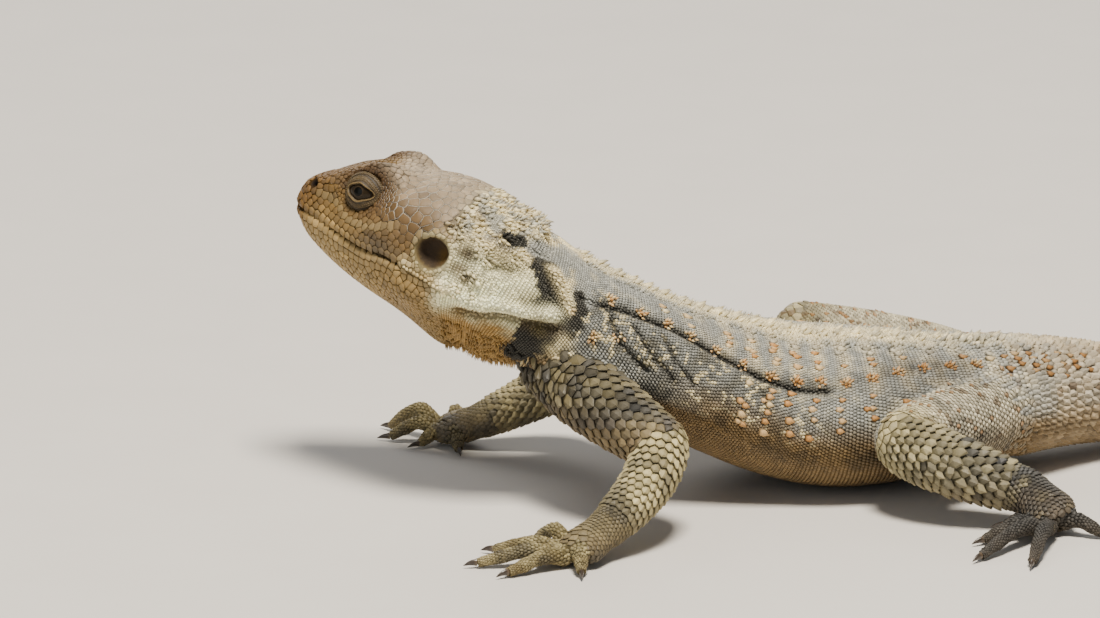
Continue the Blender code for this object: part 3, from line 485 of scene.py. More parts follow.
def digit_rows(sole, tip, arch, start, count):
    """Centres and radii of a digit from inside the sole over its arch, to the root of its claw."""
    ahead = unit([*(tip - sole)[:2], 0.0])
    root = tip - ahead * CLAW_LENGTH
    knots = [sole + (root - sole) * share for share in DIGIT_SHARES] + [tip.copy()]
    for point, level in zip(knots, (start, arch, arch * 0.62, DIGIT_RADII[3] + 0.25, CLAW_TIP_HEIGHT)):
        point[2] = level
    at = np.linspace(0.0, 3.0, count)
    radii = through(range(5), [*DIGIT_RADII, 0.1], at)
    radii = radii * (1.0 + 0.1 * bump(at, 1.0, 0.18) + 0.1 * bump(at, 1.9, 0.18) + 0.08 * bump(at, 2.75, 0.2))
    return through(range(5), knots, at), radii, through(range(5), knots, np.linspace(3.0, 4.0, 9))


def all_digits():
    """Every digit: its limb, number, centres, radii and the centreline of its claw."""
    for key, limb in LIMBS.items():
        sole, height = np.array(limb["palm"]), limb["palm_size"][1]
        for number, (x, y, arch) in enumerate(DIGITS[key], 1):
            tip = np.array([x, y, CLAW_TIP_HEIGHT])
            centres, radii, claw = digit_rows(sole, tip, arch, height * 0.7, 30)
            yield key, number, centres, radii, claw


def edges(first, sides):
    """Pairs of neighbours round a ring whose points are numbered on from first."""
    around = list(range(first, first + sides))
    return list(zip(around, around[1:] + around[:1]))


def tube_faces(first, rings, sides):
    """Squares between rings whose points are numbered on from first."""
    return [(p, q, q + sides, p + sides) for level in range(rings - 1)
            for p, q in edges(first + level * sides, sides)]


class Parts:
    """Points and faces gathered from several closed forms."""

    def __init__(self):
        self.points, self.faces, self.count = [], [], 0

    def tube(self, rings, end=None):
        """A closed tube through rings, each end closed by a fan."""
        rings = np.asarray(rings)
        n, sides = rings.shape[:2]
        foot = self.count + n * sides
        self.faces += tube_faces(self.count, n, sides)
        self.faces += [(foot, q, p) for p, q in edges(self.count, sides)]
        self.faces += [(foot + 1, p, q) for p, q in edges(foot - sides, sides)]
        end = rings[-1].mean(0) if end is None else end
        self.points += [rings.reshape(-1, 3), rings[0].mean(0)[None], end[None]]
        self.count += n * sides + 2

    def ball(self, centre, radius):
        """A closed ball."""
        turn = even_angles(32)
        around = np.outer(np.cos(turn), -FORWARD) + np.outer(np.sin(turn), UP)
        self.tube([centre + radius * (math.sin(p) * around + math.cos(p) * LEFT)
                   for p in np.linspace(0.06, math.pi - 0.06, 22)])


def put_object(name, data):
    """A new object in the scene."""
    obj = bpy.data.objects.new(name, data)
    bpy.context.scene.collection.objects.link(obj)
    return obj


def new_mesh(name, points, faces):
    """A mesh in metres from points of the working frame."""
    mesh = bpy.data.meshes.new(name)
    mesh.from_pydata(((np.asarray(points) - ORIGIN) * MM).tolist(), [], faces)
    return mesh


def write_mesh(name, points, faces, material=None):
    """A named object, its faces outwards and smooth."""
    mesh = new_mesh(name, points, faces)
    shape = bmesh.new()
    shape.from_mesh(mesh)
    bmesh.ops.recalc_face_normals(shape, faces=shape.faces)
    shape.to_mesh(mesh)
    shape.free()
    mesh.shade_smooth()
    if material:
        mesh.materials.append(material)
    return put_object(name, mesh)


def evaluated(obj):
    """An object's mesh after its modifiers, with the modifiers taken off."""
    graph = bpy.context.evaluated_depsgraph_get()
    graph.update()
    made = bpy.data.meshes.new_from_object(obj.evaluated_get(graph))
    obj.modifiers.clear()
    old = obj.data
    obj.data = made
    bpy.data.meshes.remove(old)
    return made


def mesh_points(mesh):
    """A mesh's points in the working frame."""
    flat = np.empty(len(mesh.vertices) * 3)
    mesh.vertices.foreach_get("co", flat)
    return flat.reshape(-1, 3) / MM + ORIGIN


def mesh_normals(mesh):
    """The normal at each point of a mesh."""
    flat = np.empty(len(mesh.vertices) * 3)
    mesh.vertex_normals.foreach_get("vector", flat)
    return flat.reshape(-1, 3)


def set_points(mesh, points):
    """Writes points of the working frame back into a mesh."""
    mesh.vertices.foreach_set("co", ((points - ORIGIN) * MM).ravel())
    mesh.update()


def put(mesh, name, kind, values):
    """Writes an attribute of this kind on each point."""
    attribute = mesh.attributes.new(name, kind, "POINT")
    field = {"FLOAT_VECTOR": "vector", "FLOAT_COLOR": "color"}.get(kind, "value")
    values = np.asarray(values, np.int32 if kind == "INT" else np.float32)
    attribute.data.foreach_set(field, values.ravel())


def put_colour(mesh, colour):
    """The colour of each point."""
    put(mesh, "tint", "FLOAT_COLOR", np.column_stack([colour, np.ones(len(colour))]))


def mouth_height(back):
    """Height of the mouth line over the head's axis."""
    return through(*MOUTH_LINE, np.clip(back, 0.0, MOUTH_CORNER))


def eye_centre(side):
    """The middle of the eye on one side, as a point."""
    return from_head(EYE_CENTRE[0], side * EYE_CENTRE[1], EYE_CENTRE[2])


def gaze_axes(side):
    """Out of the eye, back along its opening and up across it."""
    gaze = unit(side * LEFT + 0.12 * FORWARD + 0.2 * UP)
    along = unit(-FORWARD + gaze * (FORWARD @ gaze))
    return gaze, along, unit(UP - gaze * (UP @ gaze))


def carve_head(points, normals):
    """Mouth, nostrils, ears and eye sockets pressed into the skin of the head."""
    moved = points.copy()
    back, side, up = in_head(points).T
    out = np.abs(side)
    lateral = np.sign(side)[:, None] * LEFT
    near_mouth = ramp(MOUTH_CORNER + 0.6 - back, 0.0, 1.2)
    gap = up - mouth_height(back)
    lips = bump(gap, 0.85, 0.45) + bump(gap, -0.85, 0.45)
    moved -= normals * (0.5 * np.exp(-((gap / 0.3) ** 2)) * near_mouth)[:, None]
    moved += normals * (0.16 * lips * near_mouth)[:, None]
    ear = share_of(back, up, EAR_CENTRE, (2.75, 2.55))
    hollow = 1.5 * (1 - ramp(ear, 0.55, 1.02)) - 0.3 * bump(ear, 1.18, 0.16)
    moved -= lateral * (hollow * ramp(out, 6.0, 8.0))[:, None]
    nostril = share_of(back, up, NOSTRIL_CENTRE, (0.55, 0.55))
    moved -= normals * (1.4 * np.exp(-(nostril**2)) * (out > 2.0))[:, None]
    moved += normals * (0.12 * bump(nostril, 1.9, 0.5) * (out > 2.0))[:, None]
    for sign in (1, -1):
        gaze = gaze_axes(sign)[0]
        offset = moved - eye_centre(sign)
        reach = np.linalg.norm(offset, axis=1)
        angle = np.degrees(np.arccos(np.clip(offset @ gaze / np.maximum(reach, 1e-6), -1, 1)))
        high = up - EYE_CENTRE[2]
        length = np.where(back > EYE_CENTRE[0], 5.0, 4.1)
        oval = np.hypot((back - EYE_CENTRE[0]) / length, high / np.where(high > 0, 3.9, 4.2))
        inside = (1 - ramp(oval, 0.84, 1.16)) * ramp(offset @ gaze, -1.6, -0.4)
        depth = 2.0 + 0.85 * ramp(angle, 44.0, 56.0) + 0.35 * ramp(angle, 60.0, 84.0)
        moved -= offset * (inside * np.clip(1 - depth / np.maximum(reach, 1e-6), 0.0, 1.0))[:, None]
    return moved


def add_modifier(obj, kind, **settings):
    """A modifier with its settings."""
    modifier = obj.modifiers.new(kind.lower(), kind)
    for name, value in settings.items():
        setattr(modifier, name, value)


def build_skin(sizes):
    """One closed skin over trunk, limbs and digits."""
    parts = Parts()
    along = np.concatenate([np.arange(0.5, 34.0, 0.6), np.arange(34.0, ALONG[-1], 1.0), [ALONG[-1]]])
    tip = ring([ALONG[-1]], even_angles(8))[0].mean(0) + [0.8, 0.0, 0.0]
    parts.tube(ring(along, even_angles(TRUNK_SIDES)), tip)
    for side in (1, -1):
        parts.ball(eye_centre(side), LID_RADIUS)
    for limb in LIMBS.values():
        rows = upper_rows(limb)
        parts.tube(pipe_rings(rows[:, :3], rows[:, 3], LIMB_SIDES))
        parts.tube(lower_rings(limb, LIMB_SIDES)[1])
    for _, _, centres, radii, _ in all_digits():
        parts.tube(pipe_rings(centres, radii, DIGIT_SIDES, 0.08))
    skin = write_mesh("skin", np.concatenate(parts.points), parts.faces)
    add_modifier(skin, "REMESH", mode="VOXEL", voxel_size=sizes.skin_voxel)
    add_modifier(skin, "SMOOTH", factor=0.5, iterations=4)
    weight = root_weight(mesh_points(evaluated(skin)))
    group = skin.vertex_groups.new(name="roots")
    for index in np.nonzero(weight > 0.02)[0]:
        group.add([int(index)], float(weight[index]), "REPLACE")
    add_modifier(skin, "SMOOTH", factor=0.6, iterations=26, vertex_group="roots")
    mesh = evaluated(skin)
    points = carve_head(mesh_points(mesh), mesh_normals(mesh))
    points[:, 2] = np.maximum(points[:, 2], 0.02)
    set_points(mesh, points)
    skin.vertex_groups.clear()
    faces = sum(len(p.vertices) - 2 for p in mesh.polygons)
    add_modifier(skin, "DECIMATE", ratio=min(1.0, sizes.skin_faces / faces))
    add_modifier(skin, "TRIANGULATE")
    evaluated(skin).shade_smooth()
    return skin


def root_weight(points):
    """How much the skin is eased at each point: most where the limbs leave the trunk."""
    weight = np.zeros(len(points))
    for limb in LIMBS.values():
        for x, y, z, radius in limb["path"][:2]:
            away = np.linalg.norm(points - [x, y, z], axis=1)
            weight = np.maximum(weight, 1 - ramp(away, radius + 1.0, radius + 4.5))
        x, y, z, radius = limb["path"][JOINT]
        away = np.linalg.norm(points - [x, y, z], axis=1)
        weight = np.maximum(weight, 0.35 * (1 - ramp(away, radius, radius + 3.0)))
    return weight


def mesh_tree(mesh):
    """A tree of a mesh's faces in the working frame."""
    return BVHTree.FromPolygons(mesh_points(mesh).tolist(), [tuple(p.vertices) for p in mesh.polygons])


def dot(a, b):
    """Products of two rows of vectors."""
    return (a * b).sum(-1)


class Body:
    """The parts of the body: finds the part, the distance along it and the turn round it for any point."""

    TRUNK_SAMPLES, LIMB_SAMPLES = 80, 18

    def __init__(self, skin):
        self.tree = mesh_tree(skin.data)
        self.pipes = list(limb_parts())
        along = np.arange(0.5, ALONG[-1], 0.8)
        near = [ring(along, even_angles(self.TRUNK_SAMPLES)).reshape(-1, 3)]
        part, station = [np.zeros(len(near[0]), int)], [np.repeat(along, self.TRUNK_SAMPLES)]
        for index, (_, centres, radii) in enumerate(self.pipes, 1):
            near.append(pipe_rings(centres, radii, self.LIMB_SAMPLES).reshape(-1, 3))
            part.append(np.full(len(near[-1]), index))
            station.append(np.repeat(np.arange(len(centres), dtype=float), self.LIMB_SAMPLES))
        near, self.part, self.station = (np.concatenate(v) for v in (near, part, station))
        self.samples = KDTree(len(near))
        for index, point in enumerate(near):
            if self.tree.find_nearest(point, 1.1)[0] is not None:
                self.samples.insert(point, index)
        self.samples.balance()

    def locate(self, points):
        """Part, distance along, turn round and the way scales point, for each point."""
        found = np.array([self.samples.find(p)[1] for p in points.tolist()])
        part, along = self.part[found], self.station[found].copy()
        turn, lie = np.zeros(len(points)), np.zeros((len(points), 3))
        pick = np.nonzero(part == 0)[0]
        p = points[pick]
        at = along[pick]
        for _ in range(2):
            row, tangent, _, _ = frames(at)
            at = np.clip(at + dot(p - row[:, :3], tangent), 0.5, ALONG[-1])
        row, tangent, left, up = frames(at)
        away = p - row[:, :3]
        x, y = dot(away, left) / row[:, 3], dot(away, up)
        y = y / np.where(y > 0, row[:, 4], row[:, 5])
        power = 1.0 / row[:, 6]
        along[pick], lie[pick] = at, tangent
        turn[pick] = np.arctan2(np.sign(y) * np.abs(y) ** power, np.sign(x) * np.abs(x) ** power)
        for index, (_, centres, _) in enumerate(self.pipes, 1):
            pick = np.nonzero(part == index)[0]
            if not len(pick):
                continue
            p = points[pick]
            tangent, side, up = limb_frames(centres)
            i = np.linalg.norm(p[:, None] - centres[None], axis=2).argmin(1)
            away = p - centres[i]
            along[pick] = distances(centres)[i] + dot(away, tangent[i])
            turn[pick] = np.arctan2(dot(away, up[i]), dot(away, side[i]))
            lie[pick] = tangent[i]
        return part, along, turn, lie

    def settle(self, points, reach):
        """The nearest place of the skin to each point, its normal, and which points have one within reach."""
        hits = [self.tree.find_nearest(p, reach) for p in points.tolist()]
        found = np.array([hit[0] is not None for hit in hits])
        place, normal = (np.array([hit[i][:] if hit[0] is not None else spare for hit in hits]).reshape(-1, 3)
                         for i, spare in ((0, (0, 0, 0)), (1, (0, 0, 1))))
        return place, normal, found


def limb_parts():
    """Name, centres and radii of every length of limb and every digit."""
    for key, limb in LIMBS.items():
        rows = limb_rows(limb["path"][: JOINT + 1], 30)
        yield (key, "upper"), rows[:, :3], rows[:, 3]
        rows = lower_rows(limb)[0]
        yield (key, "lower"), rows[:, :3], rows[:, 3]
    for key, _, centres, radii, _ in all_digits():
        yield (key, "digit"), centres, radii


def downward(turn):
    """Degrees down from the midline of the back."""
    return np.abs((np.degrees(turn) - 90.0 + 180.0) % 360.0 - 180.0)


def unwrap(part, along, turn):
    """Place on the skin's flat map: the trunk below, the limbs in two rows and the digits above them."""
    turn = (turn + math.pi / 2) % (2 * math.pi) / (2 * math.pi)
    u, v = 0.01 + along * 0.0032, 0.01 + turn * TRUNK_SPAN
    limb, digit = part - 1, part - 1 - LIMB_LENGTHS
    is_limb, is_digit = (limb >= 0) & (digit < 0), digit >= 0
    u = np.where(is_limb, 0.01 + (limb % 4) * 0.245 + np.clip(along, 0, 60) * 0.0055, u)
    v = np.where(is_limb, 0.53 + (limb // 4) * 0.16 + turn * LIMB_SPAN, v)
    u = np.where(is_digit, 0.01 + (digit % 10) * 0.098 + np.clip(along, 0, 30) * 0.0036, u)
    v = np.where(is_digit, 0.86 + (digit // 10) * 0.065 + turn * DIGIT_SPAN, v)
    return np.stack([u, v], axis=-1)


def grain(points, size, seed):
    """Soft random variation from -1 to 1, with patches of about this size."""
    shift = np.array([seed * 37.1, seed * 11.3, seed * 5.7])
    return np.array([noise.noise(p) for p in (points / size + shift).tolist()]) * 1.8


def blend(base, colour, amount):
    """base with colour laid over it, as far as amount."""
    return base + (np.asarray(colour) - base) * np.asarray(np.clip(amount, 0.0, 1.0))[..., None]


def path_shade(along, down, path, width):
    """1 on a line through places of the trunk, falling to 0 over width."""
    shade = np.zeros(len(along))
    for (a0, d0), (a1, d1) in zip(path, path[1:]):
        row = through(ALONG, ROWS, (a0 + a1) / 2)
        scale = math.radians(1.0) * 0.5 * (row[3] + row[4])
        p = np.stack([along - a0, (down - d0) * scale], axis=-1)
        q = np.array([a1 - a0, (d1 - d0) * scale])
        t = np.clip(p @ q / (q @ q), 0.0, 1.0)
        shade = np.maximum(shade, np.exp(-((p - t[:, None] * q) ** 2).sum(-1) / width**2))
    return shade


class Markings:
    """Colours of a set of points, while the animal's markings, and painted light and shade, are laid over
    them.
    """

    def __init__(self, tones, points, part, along, turn):
        self.tones, self.points, self.part, self.along = tones, points, part, along
        self.down = downward(turn)
        self.coarse, self.middle, self.fine, self.speck = (
            grain(points, size, seed) for size, seed in ((6.0, 1), (2.2, 2), (0.7, 3), (1.5, 4)))
        self.colour = np.tile(tones["grey_back"], (len(points), 1))

    def lay(self, tone, amount, pick=slice(None)):
        """Lays a tone over the colour so far, as far as amount."""
        self.colour[pick] = blend(self.colour[pick], self.tones[tone], amount)

    def line(self, path, width):
        """1 on a line through places of the trunk, falling to 0 over width."""
        return path_shade(self.along, self.down, path, width)

    def spots(self, places, reach):
        """1 at each of these places on the trunk, falling to 0 over reach."""
        shade = np.zeros(len(self.along))
        for a, d in places:
            row = through(ALONG, ROWS, a)
            across = np.radians(self.down - d) * 0.5 * (row[3] + row[4])
            shade = np.maximum(shade, np.exp(-((self.along - a) ** 2 + across**2) / reach**2))
        return shade


def paint_trunk(m):
    """Stripes, specks and dark streaks from the back down to the belly, painted shade in the folds and beside
    the rosettes, a painted shadow on the rear flank, and the rings of the tail.
    """
    along, down, coarse, middle, speck = m.along, m.down, m.coarse, m.middle, m.speck
    stripe = 0.5 + 0.5 * np.cos((along - 84.2) * 2 * math.pi / 4.6)
    stripe = stripe * (1 - ramp(down, 40, 72)) * ramp(along, 58, 76)
    stripe = stripe * (1 - 0.35 * ramp(along, 88, 104))
    m.lay("sand", 0.36 * stripe)
    m.lay("cream", 0.28 * stripe + 0.18 * middle)
    pale = 0.74 + 0.3 * middle - 0.3 * ramp(along, 95, 120)
    m.lay("cream", pale * (1 - ramp(down + 4 * middle + 3 * coarse, 6, 15)))
    wavy = down + 8 * coarse
    dark = ramp(wavy, 42, 60) * (1 - ramp(wavy, 84, 104)) * (1 - ramp(along + 8 * coarse, 78, 100))
    m.lay("charcoal", (0.48 + 0.3 * middle) * dark)
    m.lay("belly", ramp(down + 7 * coarse, 76, 100) * ramp(along, 56, 74) + ramp(down, 104, 122))
    light = grain(m.points, 0.95, 7) + 0.3 * speck + 0.2 * m.fine
    m.lay("cream", 0.85 * dark * ramp(light, 0.36, 0.52))
    # Painted shade in the grooves of the shoulder folds.
    for path, _, _ in FOLDS[SHOULDER_FOLDS]:
        m.lay("charcoal", 0.8 * m.line(path, 0.6))
    low = 0.45 * ramp(down, 66, 92) * (1 - ramp(along, 104, 118))
    m.lay("charcoal", low * ramp(coarse - 0.3 * speck, 0.0, 0.5) * (1 - ramp(down, 108, 122)))
    # Painted shade along the groove of the flank fold.
    m.lay("charcoal", m.line(FOLDS[FLANK_FOLD][0], 1.2))
    # Dark bases of the rear rosettes, together with the painted shadow that each rosette casts forward.
    m.lay("charcoal", 0.45 * m.spots([(a - 1.8, d) for a, d in ROSETTES[7:15]], 1.5))
    m.lay("sand", ramp(along, 116, 132) * (0.62 + 0.25 * middle))
    row = ramp(np.cos((along - 119.0) * 2 * math.pi / 2.4), 0.2, 0.8) * bump(along, 133, 22)
    row = row * (1 - ramp(down, 66, 90)) * ramp(down, 6, 20)
    m.lay("brown", 0.75 * row * ramp(speck + 0.3 * middle, 0.0, 0.5))
    shadow = (m.part == 0) * ramp(along, 94, 104) * (1 - ramp(along, 107, 117))
    m.colour *= (1 - (0.08 + 0.24 * ramp(down, 18, 36)) * shadow)[:, None]
    m.lay("brown", 0.14 * shadow * ramp(down, 16, 32) * ramp(middle, -0.3, 0.3))
    tail = (m.part == 0) & (along > 128)
    bands = 0.5 + 0.5 * np.cos((along - 134) * 2 * math.pi / 17.0)
    m.lay("brown", tail * 0.5 * bands * ramp(along, 140, 175))
    m.lay("belly", tail * 0.5 * ramp(down, 90, 140))


def paint_neck(m):
    """Cream neck with grey nape, black patches, white fold with painted shade in the groove under it, and the
    tan throat.
    """
    along, down, middle, fine = m.along, m.down, m.middle, m.fine
    neck = (m.part == 0) & (along < 50)
    cream = neck * ramp(along, 27, 31) * (1 - ramp(along + 2 * middle, 41, 46)) * (1 - ramp(down, 118, 140))
    m.lay("cream", cream)
    m.lay("white", cream * ramp(down, 52, 78))
    nape = cream * (1 - ramp(down, 46, 62))
    m.lay("grey_back", 0.85 * nape * ramp(middle + 0.4 * fine, -0.15, 0.2))
    m.lay("temple", 0.45 * nape * ramp(m.speck, 0.1, 0.4))
    grey = m.spots([(38.2, 38), (39.6, 46), (40.2, 32), (43.2, 28), (44.4, 42), (45, 56)], 2.6)
    m.lay("grey_back", neck * 0.95 * ramp(grey, 0.2, 0.7))
    m.lay("olive", neck * 0.8 * m.spots([(39.4, 87), (38.8, 93), (34.6, 65), (35.4, 70), (39.9, 91)], 1.5))
    dark = m.spots([(34.9, 42), (43.6, 88), (44.6, 62), (45.4, 70), (45.8, 84), (45.6, 96)], 1.5)
    for width, path in (
        (2.1, [(38.7, 55), (39.8, 67), (41.3, 81), (42.0, 96), (42.2, 117)]),
        (2.9, [(42.0, 108), (42.4, 124), (42.8, 146)]),
        (3.2, [(41.6, 92), (43.2, 100), (42.6, 118)]),
    ):
        dark = np.maximum(dark, m.line(path, width))
    patch = neck * ramp(dark + 0.14 * fine + 0.08 * middle, 0.42, 0.6)
    m.lay("charcoal", patch)
    # Painted shade in the groove under the neck fold.
    m.lay("brown", neck * 0.8 * m.line(FOLDS[UNDER_FOLD][0], 1.1))
    m.lay("white", neck * m.line(FOLDS[NECK_FOLD][0], 1.4))
    m.lay("cream", neck * m.line(FOLDS[NAPE_FOLD][0], 0.8))
    m.lay("olive", neck * 0.9 * m.spots([(41.4, 102), (42.2, 108)], 1.2))
    m.lay("cream", neck * 0.9 * m.spots([(46.2, 104), (47.4, 112), (45.8, 116)], 1.3))
    pouch = neck * ramp(along, 27, 31) * ramp(down, 114, 128) * (1 - ramp(along, 41, 46))
    m.lay("throat", pouch * (0.85 + 0.3 * middle) * (1 - patch))
    m.lay("brown", neck * 0.8 * m.spots([(31.4, 84), (32.4, 89), (29.6, 63), (31.6, 70)], 1.3))


def paint_head(m):
    """Pale top of the head, partly painted highlight; brown temples and snout, tan jaw, the marks round eye,
    ear and nostril, and painted shade round the eye, in the nostrils and in the hollow behind the ear.
    """
    back, side, up = in_head(m.points).T
    out = np.abs(side)
    head = (m.part == 0) & (m.along < 34)
    on_head = head * (1 - ramp(back, 27.5, 31.5))
    below = mouth_height(back) - up
    m.lay("cheek", on_head)
    brow = bump(back, 12.5, 5.2)
    high = up + 0.10 * back - 0.7 * m.coarse
    # The top of the head turns paler above a height: its own grey with a painted highlight from above.
    m.lay("crown", on_head * ramp(high, 6.0 + 3.6 * brow, 9.0 + 2.4 * brow))
    m.lay("temple", 0.85 * on_head * pool(back, up, (22.5, 5.2), (8.0, 4.6)))
    m.lay("cream", (m.part == 0) * 0.9 * m.line(FOLDS[JAW_FOLD][0], 0.8))
    hinge = 1 - 0.5 * ramp(back, 15, 22) * ramp(below, 0.6, 2.0)
    m.lay("jaw", on_head * ramp(below, -3.2, 1.5) * hinge)
    m.lay("snout", on_head * (1 - ramp(back - 0.5 * up, 1.5, 6.0)))
    m.lay("temple", on_head * 0.6 * ramp(up + 0.1 * back, 4.6, 5.8) * (1 - ramp(back, 9, 14)))
    # Painted shade in the hollow round the eye: brow is a darker copy of brown.
    m.lay("brow", on_head * ramp(out, 2.2, 4.4) * 0.96 * pool(back, up, (13.4, 6.4), (5.0, 4.9), 2))
    m.lay("slate", on_head * 0.6 * pool(back, up, (18.4, -1.6), (4.2, 2.1)))
    row = bump(up - np.interp(back, *UNDER_EYE), 0.0, 0.6) * ramp(back, 3.4, 5.0)
    m.lay("limb", on_head * 0.15 * (row * (1 - ramp(back, 20.0, 23.0))))
    ear = share_of(back, up, EAR_CENTRE, (2.6, 2.45))
    drum = blend(np.tile(m.tones["drum"], (len(back), 1)), m.tones["cheek"],
                 0.8 * pool(back, up, (29.7, 0.2), (0.9, 1.2)))
    m.colour = blend(m.colour, drum, head * (1 - ramp(ear, 0.92, 1.04)) * (out > 5))
    m.lay("limb", 0.7 * head * bump(ear, 1.2, 0.16) * (out > 5))
    # Painted shade in the hollow behind the ear.
    m.lay("pit", head * pool(back, up, (33.8, 1.4), (1.3, 1.8)) * 0.6 * (out > 6))
    nostril = share_of(back, up, NOSTRIL_CENTRE, (0.72, 0.72))
    # Painted shade in the nostrils.
    m.lay("pit", head * np.exp(-(nostril**4)) * (out > 2))


def paint_limb(m, pick, key, length):
    """Olive arms and slate legs, darker towards the digits and warmer beneath, with painted shade on the
    far-side limbs.
    """
    height, middle, coarse = m.points[pick, 2], m.middle[pick], m.coarse[pick]
    share = m.along[pick] / max(m.along[pick].max(), 1.0)
    marks = []
    # Painted shade: the far-side limbs are darkened, and the far thigh is kept less pale.
    if key in ("leg_right", "arm_right"):
        marks.append(("slate" if key == "leg_right" else "olive", 0.4))
    if key.startswith("leg") and length == "upper":
        marks.append(("thigh", (0.5 if key == "leg_right" else 1.0) - ramp(share, 0.72, 1.0)))
        marks.append(("brown", 0.7 * ramp(m.speck[pick], 0.5, 0.75)))
    elif key.startswith("leg"):
        grey = 0.32 + 0.42 * ramp(share, 0.02, 0.4) + 0.3 * middle
        marks.append(("slate", grey + 0.3 * ramp(share, 0.6, 0.8) + 0.8 * (length == "digit")))
    elif length == "upper":
        marks.append(("olive", 0.6 + 0.3 * ramp(-share, -0.9, -0.5) + 0.3 * coarse))
        marks.append(("slate", 0.45 + 0.35 * middle))
    elif length == "lower":
        marks.append(("olive", 0.15 + 0.85 * ramp(share, 0.5, 0.75) + 0.3 * coarse))
        marks.append(("slate", 0.35 * ramp(share, 0.5, 0.75)))
    else:
        marks.append(("olive", 0.75 + 0.3 * middle))
    beneath = 1 - ramp(height - height.mean(), -3.0, 3.0)
    marks.append(("belly", (0.6 - 0.35 * (length != "upper")) * beneath))
    marks.append(("slate", 0.5 * ramp(coarse + 0.4 * middle, 0.25, 0.8)))
    m.colour[pick] = m.tones["limb"]
    for tone, amount in marks:
        m.lay(tone, amount, pick)


def paint(tones, points, part, along, turn, names):
    """The animal's markings, with painted light and shade among them: one colour for each point."""
    m = Markings(tones, points, part, along, turn)
    paint_trunk(m)
    paint_neck(m)
    paint_head(m)
    for index, (key, length) in enumerate(names, 1):
        pick = part == index
        if pick.any():
            paint_limb(m, pick, key, length)
    shade = 1.0 + 0.10 * m.fine + 0.07 * m.middle
    return np.clip(m.colour * shade[:, None], 0.002, 0.95)


class Crowd:
    """Places already taken, each with the width it needs."""

    def __init__(self):
        self.cells = {}

    def admit(self, place, width):
        """Takes the place if nothing stands too near it."""
        x, y, z = place
        i, j, k = math.floor(x / 1.6), math.floor(y / 1.6), math.floor(z / 1.6)
        for a in (i - 1, i, i + 1):
            for b in (j - 1, j, j + 1):
                for c in (k - 1, k, k + 1):
                    for p, q, r, w in self.cells.get((a, b, c), ()):
                        if (p - x) ** 2 + (q - y) ** 2 + (r - z) ** 2 < (0.5 * (w + width)) ** 2:
                            return False
        self.cells.setdefault((i, j, k), []).append((x, y, z, width))
        return True


class Roots:
    """Where scales grow: place, normal, the way each lies, its length, width and height, kind and tint."""

    FIELDS = ("place", "normal", "lie", "size", "kind", "part", "along", "turn", "tint", "form")

    def __init__(self, **fields):
        self.__dict__.update(fields)

    def take(self, pick):
        """Only the picked roots."""
        return Roots(**{name: getattr(self, name)[pick] for name in self.FIELDS})

    @staticmethod
    def join(several):
        """Several sets of roots as one."""
        return Roots(**{name: np.concatenate([getattr(r, name) for r in several]) for name in Roots.FIELDS})


# Kinds of scale, numbered as their shapes are sorted.
GRANULE, KEELED, SPINE, PLATE = 0, 1, 2, 3


def trunk_spot(along, down, side):
    """A place on the trunk's surface."""
    return ring([along], np.array([math.radians(90.0 - down * side)]))[0, 0]


def row_step(along):
    """Distance between rows of scales along the trunk and tail."""
    steps = ((28, 0.34), (42, 0.36), (50, 0.47), (108, 0.55), (120, 0.8),
             (130, 1.5), (142, 2.1), (200, 1.9), (300, 1.3))
    return float(np.interp(along, *zip(*steps)))


def row_width(along, down):
    """Width of a scale of the trunk or tail."""
    widths = ((28, 0.42), (42, 0.42), (50, 0.5), (108, 0.57), (124, 0.9), (140, 1.5), (200, 1.35), (300, 0.8))
    band = (1 - ramp(down, 10, 18)) * ramp(along, 44, 50) * (1 - ramp(along, 118, 130))
    wider = 1 + 0.4 * band + 0.3 * ramp(down, 100, 125) * (1 - ramp(along, 120, 135))
    return np.interp(along, *zip(*widths)) * wider


def trunk_lattice():
    """Staggered rows of places round the trunk and tail, with the length and width of each scale."""
    along, odd = 30.0, 0
    turn = np.linspace(-0.5 * math.pi, 1.5 * math.pi, 241)
    down = downward(0.5 * (turn[1:] + turn[:-1]))
    while along < ALONG[-1] - 0.8:
        points = ring([along], turn)[0]
        gaps = np.linalg.norm(np.diff(points, axis=0), axis=1)
        reach = np.concatenate([[0.0], np.cumsum(gaps / row_width(along, down))])
        count = max(5, round(reach[-1]))
        at = (np.arange(count) + 0.5 * odd) * reach[-1] / count
        found = np.stack([np.interp(at, reach, points[:, axis]) for axis in range(3)], axis=-1)
        width = np.interp(at, reach[1:], gaps) / np.interp(at, reach[1:], np.diff(reach))
        step = row_step(along)
        yield found, np.stack([np.full(count, step), width], axis=-1)
        along += step
        odd = 1 - odd


def pipe_lattice(name, centres, radii):
    """Staggered rows of places round a length of limb or a digit."""
    length = distances(centres)
    along, odd = 0.3, 0
    columns = {"upper": (17, 46), "lower": (17, 15), "digit": (12, 12)}[name[1]][name[0].startswith("leg")]
    while along < length[-1]:
        share = along / length[-1]
        sole = name[1] == "lower" and share > 0.62
        centre = np.stack([np.interp(along, length, centres[:, axis]) for axis in range(3)])
        i = min(int(np.searchsorted(length, along)), len(centres) - 1)
        _, side, up = limb_frames(centres)
        radius = np.interp(along, length, radii)
        count = 26 if sole else 21 if columns == 15 and share < 0.3 else columns
        step = 2 * math.pi * radius / count * (0.9 if sole or name[1] == "upper" else 1.05)
        turn = (np.arange(count) + 0.5 * odd) * 2 * math.pi / count
        found = centre + radius * (np.outer(np.cos(turn), side[i]) + np.outer(np.sin(turn), up[i]))
        yield found, np.tile([step, 2 * math.pi * radius / count], (count, 1))
        along += step * 0.88
        odd = 1 - odd


